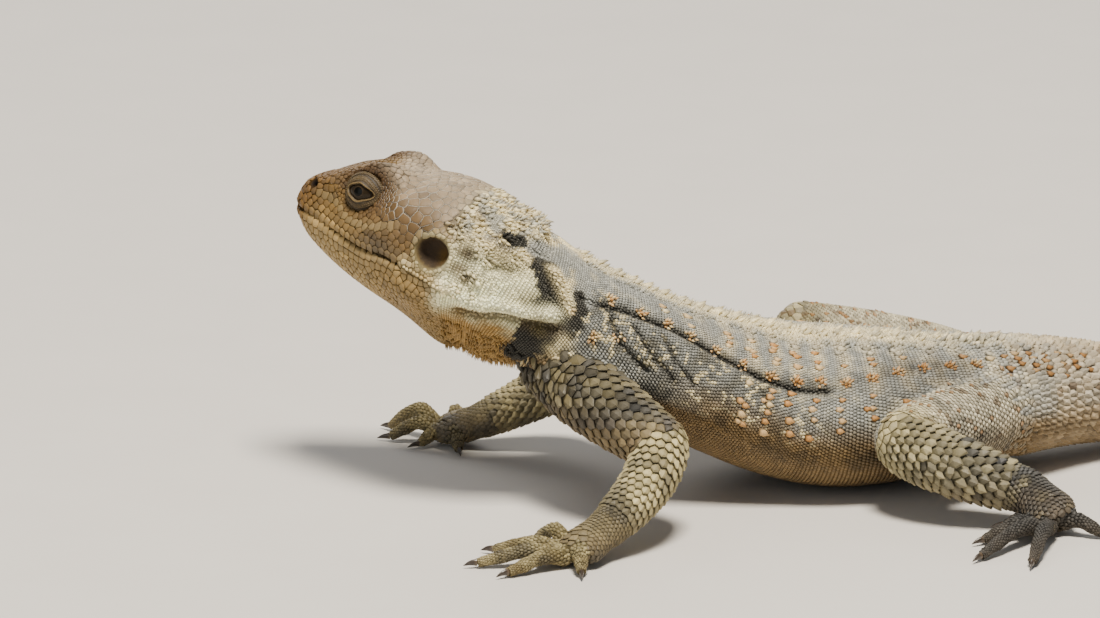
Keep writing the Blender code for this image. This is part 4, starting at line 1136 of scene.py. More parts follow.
def scatter(mesh, count, chance):
    """Seeded random places on a mesh."""
    points = mesh_points(mesh)
    mesh.calc_loop_triangles()
    corners = np.empty(len(mesh.loop_triangles) * 3, int)
    mesh.loop_triangles.foreach_get("vertices", corners)
    a, b, c = points[corners.reshape(-1, 3)].transpose(1, 0, 2)
    area = np.linalg.norm(np.cross(b - a, c - a), axis=1)
    pick = chance.choice(len(area), count, p=area / area.sum())
    u, v = chance.random(count), chance.random(count)
    flip = u + v > 1
    u, v = np.where(flip, 1 - u, u)[:, None], np.where(flip, 1 - v, v)[:, None]
    return a[pick] + u * (b - a)[pick] + v * (c - a)[pick]


def head_width(back, side, up):
    """Width of the plates over the head, and of the fine scales round ears, eyes and throat."""
    jaw = mouth_height(back) - up
    width = np.full(len(back), 1.12)
    width += 0.75 * pool(back, up, (24.0, 5.2), (4.6, 3.2))
    width -= 0.6 * pool(back, up, (17.8, 5.8), (1.6, 2.8), 2)
    width -= 0.3 * (1 - ramp(back, 4.0, 9.0)) * ramp(up, 2.0, 4.0)
    width -= 0.25 * ramp(jaw, 2.4, 3.2)
    width -= 0.2 * ramp(back, 14.0, 18.0) * (1 - ramp(np.abs(up + 1.5), 1.5, 3.0))
    width -= 0.25 * ramp(up + 0.1 * back, 7.4, 8.8) * bump(back, 17.0, 5.0)
    width -= 0.30 * ramp(jaw, 4.5, 7.5)
    ear = share_of(back, up, EAR_CENTRE, (2.7, 2.5))
    width -= 0.5 * (1 - ramp(ear, 1.05, 1.7)) * (np.abs(side) > 5)
    width -= 0.45 * ramp(back - 0.7 * np.clip(up - 2.0, 0.0, 4.0), 25.5, 30.0)
    x, y, z = EYE_CENTRE
    eye = np.sqrt((back - x) ** 2 + (np.abs(side) - y) ** 2 + (up - z) ** 2)
    width -= 0.75 * (1 - ramp(eye, 4.0, 6.0)) * ramp(up, 1.0, 2.6)
    return np.maximum(width, 0.48)


def trunk_aim(along, down, side):
    """A place on the trunk and the way back along it."""
    centre = trunk_spot(along, down, side)
    return centre, unit(trunk_spot(along + 0.6, down, side) - centre)


def clusters(chance):
    """Place, lean, width and height of every spine that stands in a cluster or a row."""
    for table, length, spread, count, droop in ((TUFTS, 1.05, 0.6, 5, 0.3), (ROSETTES, 0.66, 0.46, 6, -0.2)):
        for along, down in table:
            for side in (1, -1):
                centre, ahead = trunk_aim(along, down, side)
                across = unit(trunk_spot(along, down + 3, side) - centre)
                bend = droop * ahead
                yield centre, bend, 0.74, length * 1.2
                for number, share in ((count - 1, 0.95), (count + 2, 1.65)):
                    height = length * (1.2 - 0.3 * share)
                    for k in range(number):
                        turn = 2 * math.pi * (k + 0.5 * chance.random()) / number
                        lean = math.cos(turn) * ahead + math.sin(turn) * across
                        out = spread * share * (0.9 + 0.3 * chance.random())
                        width = 0.56 + 0.14 * chance.random()
                        yield centre + out * lean, 0.38 * share * lean + bend, width, height

    def strewn(count, start, reach, top, drop):
        return [(start + reach * chance.random(), top + drop * chance.random()) for _ in range(count)]

    nape = [(a, d) for a, d in strewn(110, 29.6, 8.8, 0.0, 46.0) if a + 0.06 * d < 38.4]
    nape += strewn(24, 28.4, 5.0, 44.0, 16.0) + strewn(18, 32.0, 1.8, 62.0, 30.0)
    crest = [(44.0 + 3.3 * k + d, w) for k in range(24) for d, w in ((0.0, 1.0), (0.5, 5.0), (0.4, 2.0))]
    columns = FLANK_SPINES + [
        (a + 0.6 * chance.random() - 0.3, d + 2 * chance.random() - 1)
        for a, *downs in COLUMNS for d in np.arange(*downs) if chance.random() < 0.85
    ]
    ridge = [(39.5 + 4.2 * k / 13 + d, 54.0 + 24.0 * k / 13) for k in range(14) for d in (0.0, -0.55, 0.55)]
    jaw = (24.2, 27, 29, 31, 34), (92, 94, 98, 102, 109)
    cheek = [(24.6 + 0.62 * k, float(np.interp(24.6 + 0.62 * k, *jaw))) for k in range(15)]
    beads = strewn(16, 29.8, 4.6, 97.0, 9.0)
    for table, width, height in ((columns, 1.4, 0.6), (crest, 1.05, 1.35), (nape, 0.9, 0.85),
                                 (ridge, 0.6, 0.6), (cheek, 0.75, 0.5), (beads, 0.8, 0.55)):
        for along, down in table:
            for side in (1, -1):
                centre, ahead = trunk_aim(along, down, side)
                yield centre, 0.5 * ahead, width * (0.8 + 0.4 * chance.random()), height


class Coat:
    """Gathers roots region by region, each root clear of those that came before it."""

    def __init__(self, skin, body):
        self.mesh, self.body = skin.data, body
        self.chance = np.random.default_rng(41)
        self.crowd, self.gathered = Crowd(), []

    def settle(self, points, size, kind, form, reach=0.9, own=None, tight=0.72, lean=None, head=None):
        """Keeps the places that lie on the skin, on their own part and clear of the others."""
        place, normal, found = self.body.settle(points, reach)
        part, along, turn, lie = self.body.locate(place)
        if own is not None:
            found &= part == own
        if head is not None:
            found &= head == ((part == 0) & (along < HEAD_END))
        widths = tight * 0.5 * (size[:, 0] + size[:, 1])
        keep = [i for i in np.nonzero(found)[0] if self.crowd.admit(place[i].tolist(), widths[i])]
        if lean is not None:
            normal = unit(normal + lean)
        count = len(points)
        self.gathered.append(Roots(
            place=place, normal=normal, lie=lie, size=np.asarray(size, float), part=part, along=along,
            kind=np.broadcast_to(kind, count).copy(), turn=turn, tint=np.zeros((count, 3)),
            form=np.broadcast_to(form, (count, 3)).astype(float),
        ).take(np.array(keep, int)))

    def spines(self):
        """The spines of the clusters."""
        points, lean, width, height = (np.array(v) for v in zip(*clusters(self.chance)))
        size = np.stack([width, width, height], axis=-1)
        self.settle(points, size, SPINE, (0, 0, 0), 1.6, tight=0.6, lean=lean)

    def mouth_rows(self):
        """Rows of plates along both lips, and the row under the eye."""
        rows = [(np.arange(first, MOUTH_CORNER - 1.0, width * 0.98), gap, width) for first, gap, width in
                ((0.6, 0.8, 1.2), (0.6, -0.8, 1.2), (1.15, 1.85, 1.2), (1.15, -1.85, 1.15))]
        for backs, gap, width in [*rows, (np.arange(4.6, 21.6, 1.2), None, 1.35)]:
            for side in (1, -1):
                points = []
                for back in backs:
                    up = np.interp(back, *UNDER_EYE) if gap is None else mouth_height(back) + gap
                    start = Vector(from_head(back, side * 30, up))
                    hit = self.body.tree.ray_cast(start, Vector(-side * LEFT))
                    if hit[0] is not None:
                        points.append(hit[0][:])
                size = np.tile([width, width * 1.05, 0.2], (len(points), 1))
                self.settle(np.array(points), size, PLATE, (0.1, 0.0, 0.0), tight=0.6)

    def head_plates(self):
        """Plates all over the head, the widest first, clear of eyes, ears, nostrils and mouth."""
        points = scatter(self.mesh, 260000, self.chance)
        back, side, up = in_head(points).T
        points = points[(back < 36) & (points[:, 2] > 20)]
        back, side, up = in_head(points).T
        out = np.abs(side)
        ear = share_of(back, up, EAR_CENTRE, (2.6, 2.42))
        gap = np.abs(up - mouth_height(back))
        nostril = share_of(back, up, NOSTRIL_CENTRE, (1, 1))
        keep = ((nostril > 0.95) | (out < 2)) & ((ear > 1.17) | (out < 6))
        keep &= (gap > 0.38) | (back > MOUTH_CORNER)
        for sign in (1, -1):
            offset = points - eye_centre(sign)
            reach = np.linalg.norm(offset, axis=1)
            keep &= (reach > 3.6) | (offset @ gaze_axes(sign)[0] < -0.1 * reach)
        points, back, side, up = points[keep], back[keep], side[keep], up[keep]
        width = head_width(back, side, up)
        order = np.argsort(-width - 0.3 * self.chance.random(len(width)))[:40000]
        width, back, up = width[order], back[order], up[order]
        edge = 0.85 * pool(back, up, (23.5, 6.2), (7.5, 3.8), 2)
        edge = np.maximum(edge, 0.25 * ramp(back, 13.0, 17.0) * ramp(up + 0.1 * back, 8.5, 10.0))
        size = np.stack([width, width, 0.1 + 0.09 * width], axis=-1)
        form = np.stack([0.15 * np.ones(len(width)), np.zeros(len(width)), edge], axis=-1)
        self.settle(points[order], size, PLATE, form, head=True, tight=0.86)

    def limb_scales(self):
        """Keeled plates on the limbs, thorns among those of the thighs, and scales on the digits."""
        for index, (name, centres, radii) in enumerate(limb_parts(), 1):
            points, size = (np.concatenate(v) for v in zip(*pipe_lattice(name, centres, radii)))
            outer = ramp(points[:, 2] - np.median(points[:, 2]), -2.0, 3.0)
            size = np.column_stack([size, 0.16 * size[:, 0]])
            if name[1] == "digit":
                self.settle(points, size * [1.1, 1.05, 1.5], KEELED, (0, 0, 0), own=index, tight=0.62)
                continue
            leg = name[0].startswith("leg")
            spiny = 0.35 if leg and name[1] == "lower" else 0.0
            thorny = self.chance.random(len(points)) < 0.06
            spiny = spiny + 0.9 * thorny * (leg and name[1] == "upper")
            form = [0.7 + 0.5 * outer + spiny, 0.5 + 0.8 * outer + spiny, np.full(len(points), 0.12)]
            self.settle(points, size, PLATE, np.stack(form, axis=-1), own=index, tight=0.62)

    def trunk_scales(self):
        """Rows of small scales round the trunk, larger on the back, and the plates of the tail."""
        points, size = (np.concatenate(v) for v in zip(*trunk_lattice()))
        _, along, turn, _ = self.body.locate(points)
        down = downward(turn)
        tail = along > TAIL_START
        band = (down < 13 + 6 * self.chance.random(len(down))) & (along > 44) & ~tail
        pouch = (along < 47) & (down > 138)
        thorn = band & (self.chance.random(len(down)) < 0.22)
        thorn |= pouch & (self.chance.random(len(down)) < 0.3)
        keeled = band | ((along > 46) & (down < 112))
        kind = np.where(tail, PLATE, np.where(thorn, SPINE, np.where(keeled, KEELED, GRANULE)))
        height = np.where(thorn, 0.75, np.where(band, 0.42, np.where(down > 112, 0.2, 0.22)))
        height = np.where(tail, 0.16 + 0.1 * size[:, 0], height)
        form = [np.full(len(down), 1.1), np.where(down < 120, 1.3, 0.3), np.full(len(down), 0.3)]
        size = np.column_stack([size * np.where(thorn, 0.85, 1.0)[:, None], height])
        self.settle(points, size, kind, np.stack(form, axis=-1), own=0, head=False, tight=0.66)

    def gaps(self):
        """Scales wherever the rows leave a gap."""
        points = scatter(self.mesh, 150000, self.chance)
        part, along, turn, _ = self.body.locate(points)
        limb = (part > 0) & (part <= LIMB_LENGTHS)
        size = np.where(part == 0, row_width(along, downward(turn)), np.where(limb, 1.15, 0.75))
        free = (part > 0) | (along > HEAD_END)
        limb, size = limb[free], size[free]
        wide = size * np.where(limb, 1.3, 1.0)
        size = np.column_stack([wide, wide, np.where(limb, 0.2, 0.42 * size)])
        kind = np.where(limb, PLATE, GRANULE)
        self.settle(points[free], size, kind, limb[:, None] * [0.6, 0.4, 0.0], tight=0.7)

    def roots(self, tones, names):
        """Every root, coloured."""
        for gather in (self.spines, self.mouth_rows, self.head_plates,
                       self.limb_scales, self.trunk_scales, self.gaps):
            gather()
        roots = Roots.join(self.gathered)
        tint = paint(tones, roots.place, roots.part, roots.along, roots.turn, names)
        upper = [i for i, name in enumerate(names, 1) if name[1] == "upper"]
        thorns = (roots.form[:, 0] > 1.5) & np.isin(roots.part, upper)
        tint[thorns] = blend(tint[thorns], tones["orange"] * 0.55, 0.8)
        spread = np.where(roots.part > 0, 0.2, 0.13) * self.chance.standard_normal(len(tint))
        roots.tint = tint * np.clip(1 + spread, 0.6, 1.4)[:, None]
        return roots


def tint_spines(roots, tones):
    """Orange spines on trunk and flank, paler in front and deeper behind, and pale ones on the nape."""
    down = downward(roots.turn)
    spine = (roots.kind == SPINE) & (roots.part == 0)
    trunk = spine & (roots.along > 44) & (down > 24)
    along = roots.along[trunk]
    pale = 0.52 - 0.42 * ramp(along, 58, 92) + 0.4 * grain(roots.place[trunk], 0.5, 5)
    deeper = 1 - 0.42 * ramp(along, 84, 112)[:, None]
    roots.tint[trunk] = blend(tones["orange"] * deeper, tones["cream"], np.clip(pale, 0.0, 0.95))
    nape = spine & (roots.along <= 44) & (down < 110)
    bright = ramp(roots.tint[nape].mean(1), 0.1, 0.25) * (0.25 + 0.6 * grain(roots.place[nape], 0.6, 6))
    roots.tint[nape] = blend(roots.tint[nape], tones["cream"], bright)


def cell_corners(roots, pick, sides):
    """The corners of each picked plate, where its seams with its neighbours meet: distance and direction.

    Each corner is the farthest of a few directions that are tried side by side.
    """
    steps = 5
    turn = even_angles(sides * steps) - 2 * math.pi / (sides * steps) * 2
    tree = KDTree(len(roots.place))
    for index, place in enumerate(roots.place.tolist()):
        tree.insert(place, index)
    tree.balance()
    near = np.array([[hit[1] for hit in tree.find_n(p, 15)][1:] for p in roots.place[pick].tolist()])
    normal, lie = roots.normal[pick], roots.lie[pick]
    ahead = unit(lie - normal * dot(lie, normal)[..., None])
    across = np.cross(normal, ahead)
    offset = roots.place[near] - roots.place[pick][:, None]
    x, y = dot(offset, ahead[:, None]), dot(offset, across[:, None])
    flat = np.maximum(np.hypot(x, y), 1e-6)
    full = np.linalg.norm(offset, axis=-1)
    x, y = x * full / flat, y * full / flat
    own = roots.size[pick][:, None, :2].mean(-1)
    reach = full * own / (own + roots.size[near][..., :2].mean(-1))
    facing = np.cos(turn) * (x / full)[..., None] + np.sin(turn) * (y / full)[..., None]
    bound = np.where(facing > 0.12, reach[..., None] / np.maximum(facing, 0.12), 9.0)
    reach = np.minimum(bound.min(1), own * 0.8).reshape(len(pick), sides, steps)
    corner = reach.argmax(2)[..., None]
    turn = np.broadcast_to(turn.reshape(1, sides, steps), reach.shape)
    return *(np.take_along_axis(v, corner, 2)[..., 0] for v in (reach, turn)), ahead, across


def build_plates(name, roots, pick, body, material):
    """Domed plates that meet along thin seams, keeled and raised behind where their form asks."""
    sides, count = 8, len(pick)
    reach, turn, ahead, across = cell_corners(roots, pick, sides)
    normal, place, height = roots.normal[pick], roots.place[pick], roots.size[pick, 2][:, None]
    tilt, keel, edge = roots.form[pick].T[..., None]
    facing = np.cos(turn)
    behind = np.clip(facing, 0, 1) ** 4
    levels = (
        (1.0, -0.14 * np.ones((count, sides)), 0.0),
        (0.98, height * (0.7 - 0.35 * tilt + tilt * (0.9 * facing + 0.8 * behind)), 0.42),
        (0.76, height * (0.98 - 0.2 * tilt + tilt * 0.8 * facing + keel * behind), 0.85),
    )
    flat = np.repeat(normal, sides, axis=0)
    way = facing[..., None] * ahead[:, None] + np.sin(turn)[..., None] * across[:, None]
    rings, rise = [], []
    for share, lift, value in levels:
        grow = 1.0 + 0.34 * tilt * behind * (share < 1)
        p = (place[:, None] + (reach * share * grow)[..., None] * way).reshape(-1, 3)
        found, out, hit = body.settle(p, 1.4)
        base = np.where(hit[:, None], found, p)
        out = unit(np.where(hit[:, None], out, flat) + 0.8 * flat)
        rings.append((base + out * lift.reshape(-1, 1)).reshape(-1, sides, 3))
        # Less rise at the front of tilted plates: painted shade where each runs under the raised rear edge of
        # its neighbour.
        rise.append(value * (1 - 0.3 * np.clip(tilt, 0, 1) * (0.5 - 0.5 * facing)))
    top = place + normal * (height * (1.05 + 0.8 * keel))
    points = np.concatenate([*rings, top[:, None], (place - normal * 0.2)[:, None]], axis=1)
    rise = np.concatenate([*rise, np.ones((count, 1)), np.zeros((count, 1))], axis=1)
    faces = tube_faces(0, 3, sides)
    faces += [(p, q, 3 * sides) for p, q in edges(2 * sides, sides)]
    faces += [(q, p, 3 * sides + 1) for p, q in edges(0, sides)]
    stride = 3 * sides + 2
    every = [tuple(v + k * stride for v in face) for k in range(count) for face in faces]
    mesh = new_mesh(name, points.reshape(-1, 3), every)
    mesh.polygons.foreach_set("use_smooth", np.repeat(tilt[:, 0] < 0.5, len(faces)))
    put_colour(mesh, np.repeat(roots.tint[pick], stride, axis=0))
    put(mesh, "rise", "FLOAT", rise)
    put(mesh, "edge", "FLOAT", np.repeat(edge, stride))
    spot = np.zeros((count, stride, 2))
    for level, share in enumerate((1.0, 0.95, 0.76)):
        spot[:, level * sides : (level + 1) * sides] = share * np.stack([facing, np.sin(turn)], axis=-1)
    flat = unwrap(roots.part[pick], roots.along[pick], roots.turn[pick])
    put_map(mesh, (flat[:, None] + 0.0015 * spot).reshape(-1, 2)[corner_points(mesh)])
    mesh.materials.append(material)
    return put_object(name, mesh)


def corner_points(mesh):
    """The point at each corner of each face."""
    corners = np.empty(len(mesh.loops), int)
    mesh.loops.foreach_get("vertex_index", corners)
    return corners


def put_map(mesh, places):
    """The flat map that colours are baked on, given for each corner."""
    layer = mesh.uv_layers.new(name="OFBake")
    layer.uv.foreach_set("vector", places.astype(np.float32).ravel())


class Wire:
    """A socket in a shader's tree that is used in plain arithmetic."""

    def __init__(self, shader, socket):
        self.shader, self.socket = shader, socket

    def __add__(self, other):
        return self.shader.maths("ADD", self, other)

    def __mul__(self, other):
        return self.shader.maths("MULTIPLY", self, other)

    __radd__ = __add__


class Shader:
    """A material and the nodes behind its shader."""

    def __init__(self, name, **constants):
        self.material = bpy.data.materials.new(name)
        self.material.use_nodes = True
        self.tree = self.material.node_tree
        self.surface = self.tree.nodes["Principled BSDF"]
        for socket, value in constants.items():
            self.surface.inputs[socket.replace("_", " ")].default_value = value

    def put(self, socket, value):
        """Links a wire to a socket, or sets the socket."""
        if isinstance(value, Wire):
            self.tree.links.new(value.socket, socket)
        elif hasattr(socket.default_value, "__len__") and not hasattr(value, "__len__"):
            socket.default_value = [value] * 3
        else:
            socket.default_value = value

    def node(self, kind, settings, sockets, out=0):
        """One node of a kind, its settings made first, and one of its outputs."""
        node = self.tree.nodes.new(kind)
        for key, value in settings.items():
            setattr(node, key, value)
        for key, value in sockets.items():
            self.put(node.inputs[key], value)
        return Wire(self, node.outputs[out])

    def maths(self, operation, a, b):
        """A sum of numbers, or of vectors and colours."""
        many = any(isinstance(v, Wire) and v.socket.type in {"VECTOR", "RGBA"} for v in (a, b))
        kind = "ShaderNodeVectorMath" if many else "ShaderNodeMath"
        return self.node(kind, {"operation": operation}, {0: a, 1: b})

    def mix(self, amount, a, b):
        """Colour a turned towards colour b."""
        return self.node("ShaderNodeMix", {"data_type": "RGBA"}, {0: amount, 6: a, 7: b}, 2)

    def ramp(self, value, low, high, start=0.0, end=1.0):
        """A value eased from start to end between low and high."""
        settings = {"interpolation_type": "SMOOTHSTEP"}
        return self.node("ShaderNodeMapRange", settings, {0: value, 1: low, 2: high, 3: start, 4: end})

    def attribute(self, name, out=2):
        """A value, or with out=0 a colour, kept on the points."""
        return self.node("ShaderNodeAttribute", {"attribute_name": name}, {}, out)

    def noise(self, scale, detail=3.0, rough=0.55):
        """Fine variation fixed to the piece, with scale in cells to a metre."""
        where = self.node("ShaderNodeTexCoord", {}, {}, 3)
        sockets = {"Vector": where, "Scale": scale, "Detail": detail, "Roughness": rough}
        return self.node("ShaderNodeTexNoise", {}, sockets)

    def bump(self, height, strength, distance):
        """A normal for the shader from a height."""
        bump = self.node("ShaderNodeBump", {}, {"Height": height, "Strength": strength, "Distance": distance})
        self.tree.links.new(bump.socket, self.surface.inputs["Normal"])

    def feed(self, **wires):
        """Links wires to the shader's own sockets."""
        for socket, wire in wires.items():
            self.tree.links.new(wire.socket, self.surface.inputs[socket.replace("_", " ")])


def skin_finish():
    """Dry skin that shows between the scales, painted darker than them as shade in the gaps."""
    s = Shader("agama_skin", Roughness=0.8, Specular_IOR_Level=0.15)
    fine = s.noise(2600.0)
    s.feed(Base_Color=s.attribute("tint", 0) * (fine * 0.5 + 0.36))
    s.feed(Roughness=s.ramp(fine, 0.3, 0.7, 0.7, 0.9))
    s.bump(fine + s.noise(900.0) * 0.6, 0.5, 0.0002)
    return s.material


def scale_finish():
    """Horny scales, with painted shade darkening them towards their seams and a faint painted highlight on
    their tops.
    """
    s = Shader("agama_scales", Roughness=0.5, Specular_IOR_Level=0.24)
    rise, edge = s.attribute("rise"), s.attribute("edge")
    fine, broad = s.noise(3400.0), s.noise(520.0)
    tint = s.attribute("tint", 0) * (0.72 + fine * 0.34 + broad * 0.22)
    # Painted highlight: the tops of the scales turned a little towards white.
    top = s.mix(s.ramp(rise, 0.5, 1.0, 0.0, 0.02), tint, (1.0, 0.97, 0.9, 1.0))
    # Painted shade: the base of each scale darkened towards its seams.
    dark = s.mix(s.ramp(rise, 0.08, 0.6), tint * 0.3, top)
    pale_edge = s.mix(s.ramp(rise, 0.42, 0.5, 0.85, 0.0), tint * 0.92, (0.72, 0.69, 0.61, 1.0))
    # Plates with pale edges get the same painted shade at their seams.
    s.feed(Base_Color=s.mix(edge, dark, s.mix(s.ramp(rise, 0.1, 0.36), tint * 0.3, pale_edge)))
    s.feed(Roughness=s.ramp(fine + rise * 0.2, 0.3, 0.9, 0.66, 0.42))
    s.bump(fine * 0.7 + s.noise(7000.0) * 0.4, 0.4, 0.00012)
    return s.material


def eye_finish():
    """A dark eye: round pupil, brown iris with fine spokes and an amber ring."""
    s = Shader("agama_eye", Roughness=0.16, Specular_IOR_Level=0.14)
    away, turn = s.attribute("away"), s.attribute("spoke")
    place = s.node("ShaderNodeCombineXYZ", {}, {0: turn, 1: away * 0.12})
    spokes = s.node("ShaderNodeTexNoise", {"noise_dimensions": "2D"}, {"Vector": place, "Scale": 26.0})
    iris = s.mix(spokes, (0.010, 0.007, 0.004, 1.0), (0.03, 0.021, 0.011, 1.0))
    iris = s.mix(s.ramp(away, 0.30, 0.36, 1.0, 0.0), iris, (0.03, 0.02, 0.01, 1.0))
    s.feed(Base_Color=s.mix(s.ramp(away, 0.26, 0.29, 1.0, 0.0), iris, (0.003, 0.003, 0.002, 1.0)))
    return s.material


def lid_finish():
    """Soft lid skin, darker in its folds, where its tint carries painted shade."""
    s = Shader("agama_lid", Roughness=0.6)
    fine = s.noise(3000.0)
    s.feed(Base_Color=s.attribute("tint", 0) * (0.6 + fine * 0.7))
    s.bump(fine, 0.4, 0.00015)
    return s.material


def claw_finish():
    """Dark horn with grain along its length and a paler root."""
    s = Shader("agama_claw", Roughness=0.32, Coat_Weight=0.25, Coat_Roughness=0.2)
    root = s.attribute("rise")
    grainy = s.noise(2500.0)
    horn = s.mix(grainy, (0.012, 0.009, 0.007, 1.0), (0.06, 0.042, 0.028, 1.0))
    s.feed(Base_Color=s.mix(s.ramp(root, 0.0, 0.35, 0.7, 0.0), horn, (0.16, 0.11, 0.065, 1.0)))
    s.bump(grainy, 0.25, 0.0001)
    return s.material


def floor_finish():
    """A plain pale floor."""
    s = Shader("studio_floor", Roughness=0.85)
    s.feed(Base_Color=s.mix(s.noise(60.0), (0.60, 0.575, 0.535, 1.0), (0.64, 0.615, 0.575, 1.0)))
    return s.material


def write_template(name, sides, outlines, top, floor, rises):
    """One scale to be repeated, a unit long, with the distance up it and its flat place kept on its points.

    Each outline is its reach and height, and how far its rear point is drawn out and lifted.
    """
    turn = even_angles(sides)
    behind = np.clip(np.cos(turn), 0, 1) ** 3
    rings = []
    for reach, height, tail, lift in outlines:
        along, out = np.cos(turn) * (reach + tail * behind), np.sin(turn) * reach
        rings.append(np.stack([along, out, height + lift * behind], axis=-1))
    points = np.concatenate([*rings, [top], [(0, 0, floor)]])
    foot = len(points) - 1
    faces = tube_faces(0, len(rings), sides)
    faces += [(p, q, foot - 1) for p, q in edges(foot - 1 - sides, sides)]
    faces += [(q, p, foot) for p, q in edges(0, sides)]
    mesh = bpy.data.meshes.new(name)
    mesh.from_pydata(points.tolist(), [], faces)
    mesh.shade_smooth()
    put(mesh, "rise", "FLOAT", [v for v in rises for _ in turn] + [1.0, 0.0])
    put(mesh, "spot", "FLOAT_VECTOR", np.column_stack([points[:, :2], np.zeros(len(points))]))
    return bpy.data.objects.new(name, mesh)


def templates():
    """The granule, the keeled scale and the spine, in a collection of their own."""
    shapes = bpy.data.collections.new("scale_shapes")
    for scale in (
        ("a_granule", 5, ((0.54, -0.5, 0, 0), (0.46, 0.5, 0, 0)), (0, 0, 1.0), -0.5, (0.38, 0.85)),
        ("b_keeled", 6, ((0.5, -0.5, 0, 0), (0.46, 0.35, 0.2, 0.7)), (0.08, 0, 1.05), -0.5, (0, 0.5)),
        ("c_spine", 5, ((0.5, -0.3, 0, 0), (0.3, 0.38, 0.12, 0.1)), (0.42, 0, 1.2), -0.3, (0, 0.55)),
    ):
        shapes.objects.link(write_template(*scale))
    return shapes


def coat_tree(material):
    """Stands a scale on every root, turned and sized as the root says, and joins them in one mesh."""
    tree = bpy.data.node_groups.new("scale_coat", "GeometryNodeTree")
    face = tree.interface
    face.new_socket("Geometry", in_out="INPUT", socket_type="NodeSocketGeometry")
    face.new_socket("Shapes", in_out="INPUT", socket_type="NodeSocketCollection")
    for name, kind, value in (("Scale size", "Float", 1.0), ("Size variation", "Float", 0.12),
                              ("Map patch", "Float", 0.003), ("Seed", "Int", 7)):
        face.new_socket(name, in_out="INPUT", socket_type="NodeSocket" + kind).default_value = value
    face.new_socket("Geometry", in_out="OUTPUT", socket_type="NodeSocketGeometry")

    def node(kind, sockets, out=0, **settings):
        """One of the outputs of a new node, whose settings are made before its sockets are filled."""
        made = tree.nodes.new(kind)
        for key, value in settings.items():
            setattr(made, key, value)
        for key, value in sockets.items():
            if isinstance(value, bpy.types.NodeSocket):
                tree.links.new(value, made.inputs[key])
            else:
                made.inputs[key].default_value = value
        return made.outputs[out]

    def named(name, kind="FLOAT_VECTOR"):
        return node("GeometryNodeInputNamedAttribute", {"Name": name}, data_type=kind)

    given = tree.nodes.new("NodeGroupInput").outputs
    varied = given["Size variation"]
    aim = node("FunctionNodeAxesToRotation", {0: named("normal_way"), 1: named("lie")},
               primary_axis="Z", secondary_axis="X")
    least = node("ShaderNodeMath", {0: 1.0, 1: varied}, operation="SUBTRACT")
    most = node("ShaderNodeMath", {0: 1.0, 1: varied}, operation="ADD")
    chance = node("FunctionNodeRandomValue", {2: least, 3: most, "Seed": given["Seed"]}, 1, data_type="FLOAT")
    grown = node("ShaderNodeMath", {0: chance, 1: given["Scale size"]}, operation="MULTIPLY")
    stood = node("GeometryNodeInstanceOnPoints", {
        "Points": given["Geometry"],
        "Instance": node("GeometryNodeCollectionInfo", {
            "Collection": given["Shapes"], "Separate Children": True, "Reset Children": True,
        }),
        "Pick Instance": True,
        "Instance Index": named("kind", "INT"),
        "Rotation": aim,
        "Scale": node("ShaderNodeVectorMath", {0: named("size"), "Scale": grown}, operation="SCALE"),
    })
    joined = node("GeometryNodeRealizeInstances", {"Geometry": stood})
    patch = node("ShaderNodeVectorMath", {0: named("spot"), "Scale": given["Map patch"]}, operation="SCALE")
    flat = node("ShaderNodeVectorMath", {0: patch, 1: named("root_map")}, operation="ADD")
    mapped = node("GeometryNodeStoreNamedAttribute", {"Geometry": joined, "Name": "OFBake", "Value": flat},
                  data_type="FLOAT2", domain="CORNER")
    finished = node("GeometryNodeSetMaterial", {"Geometry": mapped, "Material": material})
    tree.links.new(finished, tree.nodes.new("NodeGroupOutput").inputs[0])
    return tree


def set_input(modifier, name, value):
    """Sets a modifier's input by the identifier of its socket."""
    for item in modifier.node_group.interface.items_tree:
        if item.item_type == "SOCKET" and item.in_out == "INPUT" and item.name == name:
            modifier[item.identifier] = value


def build_coat(name, roots, pick, tree, shapes, sizes):
    """The small scales of one region, as one mesh."""
    mesh = new_mesh(name, roots.place[pick], [])
    flat = unwrap(roots.part[pick], roots.along[pick], roots.turn[pick])
    vectors = {
        "normal_way": roots.normal[pick], "lie": roots.lie[pick], "size": roots.size[pick] * MM,
        "root_map": np.column_stack([flat, np.zeros(len(flat))]),
    }
    for key, values in vectors.items():
        put(mesh, key, "FLOAT_VECTOR", values)
    put_colour(mesh, roots.tint[pick])
    put(mesh, "kind", "INT", roots.kind[pick])
    obj = put_object(name, mesh)
    modifier = obj.modifiers.new("coat", "NODES")
    modifier.node_group = tree
    for key, value in (("Shapes", shapes), ("Scale size", sizes.scale_size),
                       ("Size variation", sizes.scale_variation), ("Seed", sizes.seed)):
        set_input(modifier, key, value)
    mesh = evaluated(obj)
    for key in (*vectors, "kind", "spot"):
        if key in mesh.attributes:
            mesh.attributes.remove(mesh.attributes[key])
    return obj


def skin_shade(points, along):
    """How much darker the skin is than its scales, as painted shade in the gaps: least on the neck and in the
    ears.
    """
    back, side, up = in_head(points).T
    ear = share_of(back, up, EAR_CENTRE, (2.6, 2.45))
    return 0.78 + 0.2 * bump(along, 37, 9) + 0.5 * (1 - ramp(ear, 0.9, 1.05)) * (np.abs(side) > 5)


def press_folds(skin, body):
    """Folds and ridges pressed into the trunk's skin."""
    mesh = skin.data
    points = mesh_points(mesh)
    part, along, turn, _ = body.locate(points)
    down = downward(turn)
    push = np.zeros(len(points))
    pick = part == 0
    for path, width, depth in FOLDS:
        push[pick] += depth * path_shade(along[pick], down[pick], path, width)
    set_points(mesh, points + mesh_normals(mesh) * push[:, None])
    body.tree = mesh_tree(mesh)


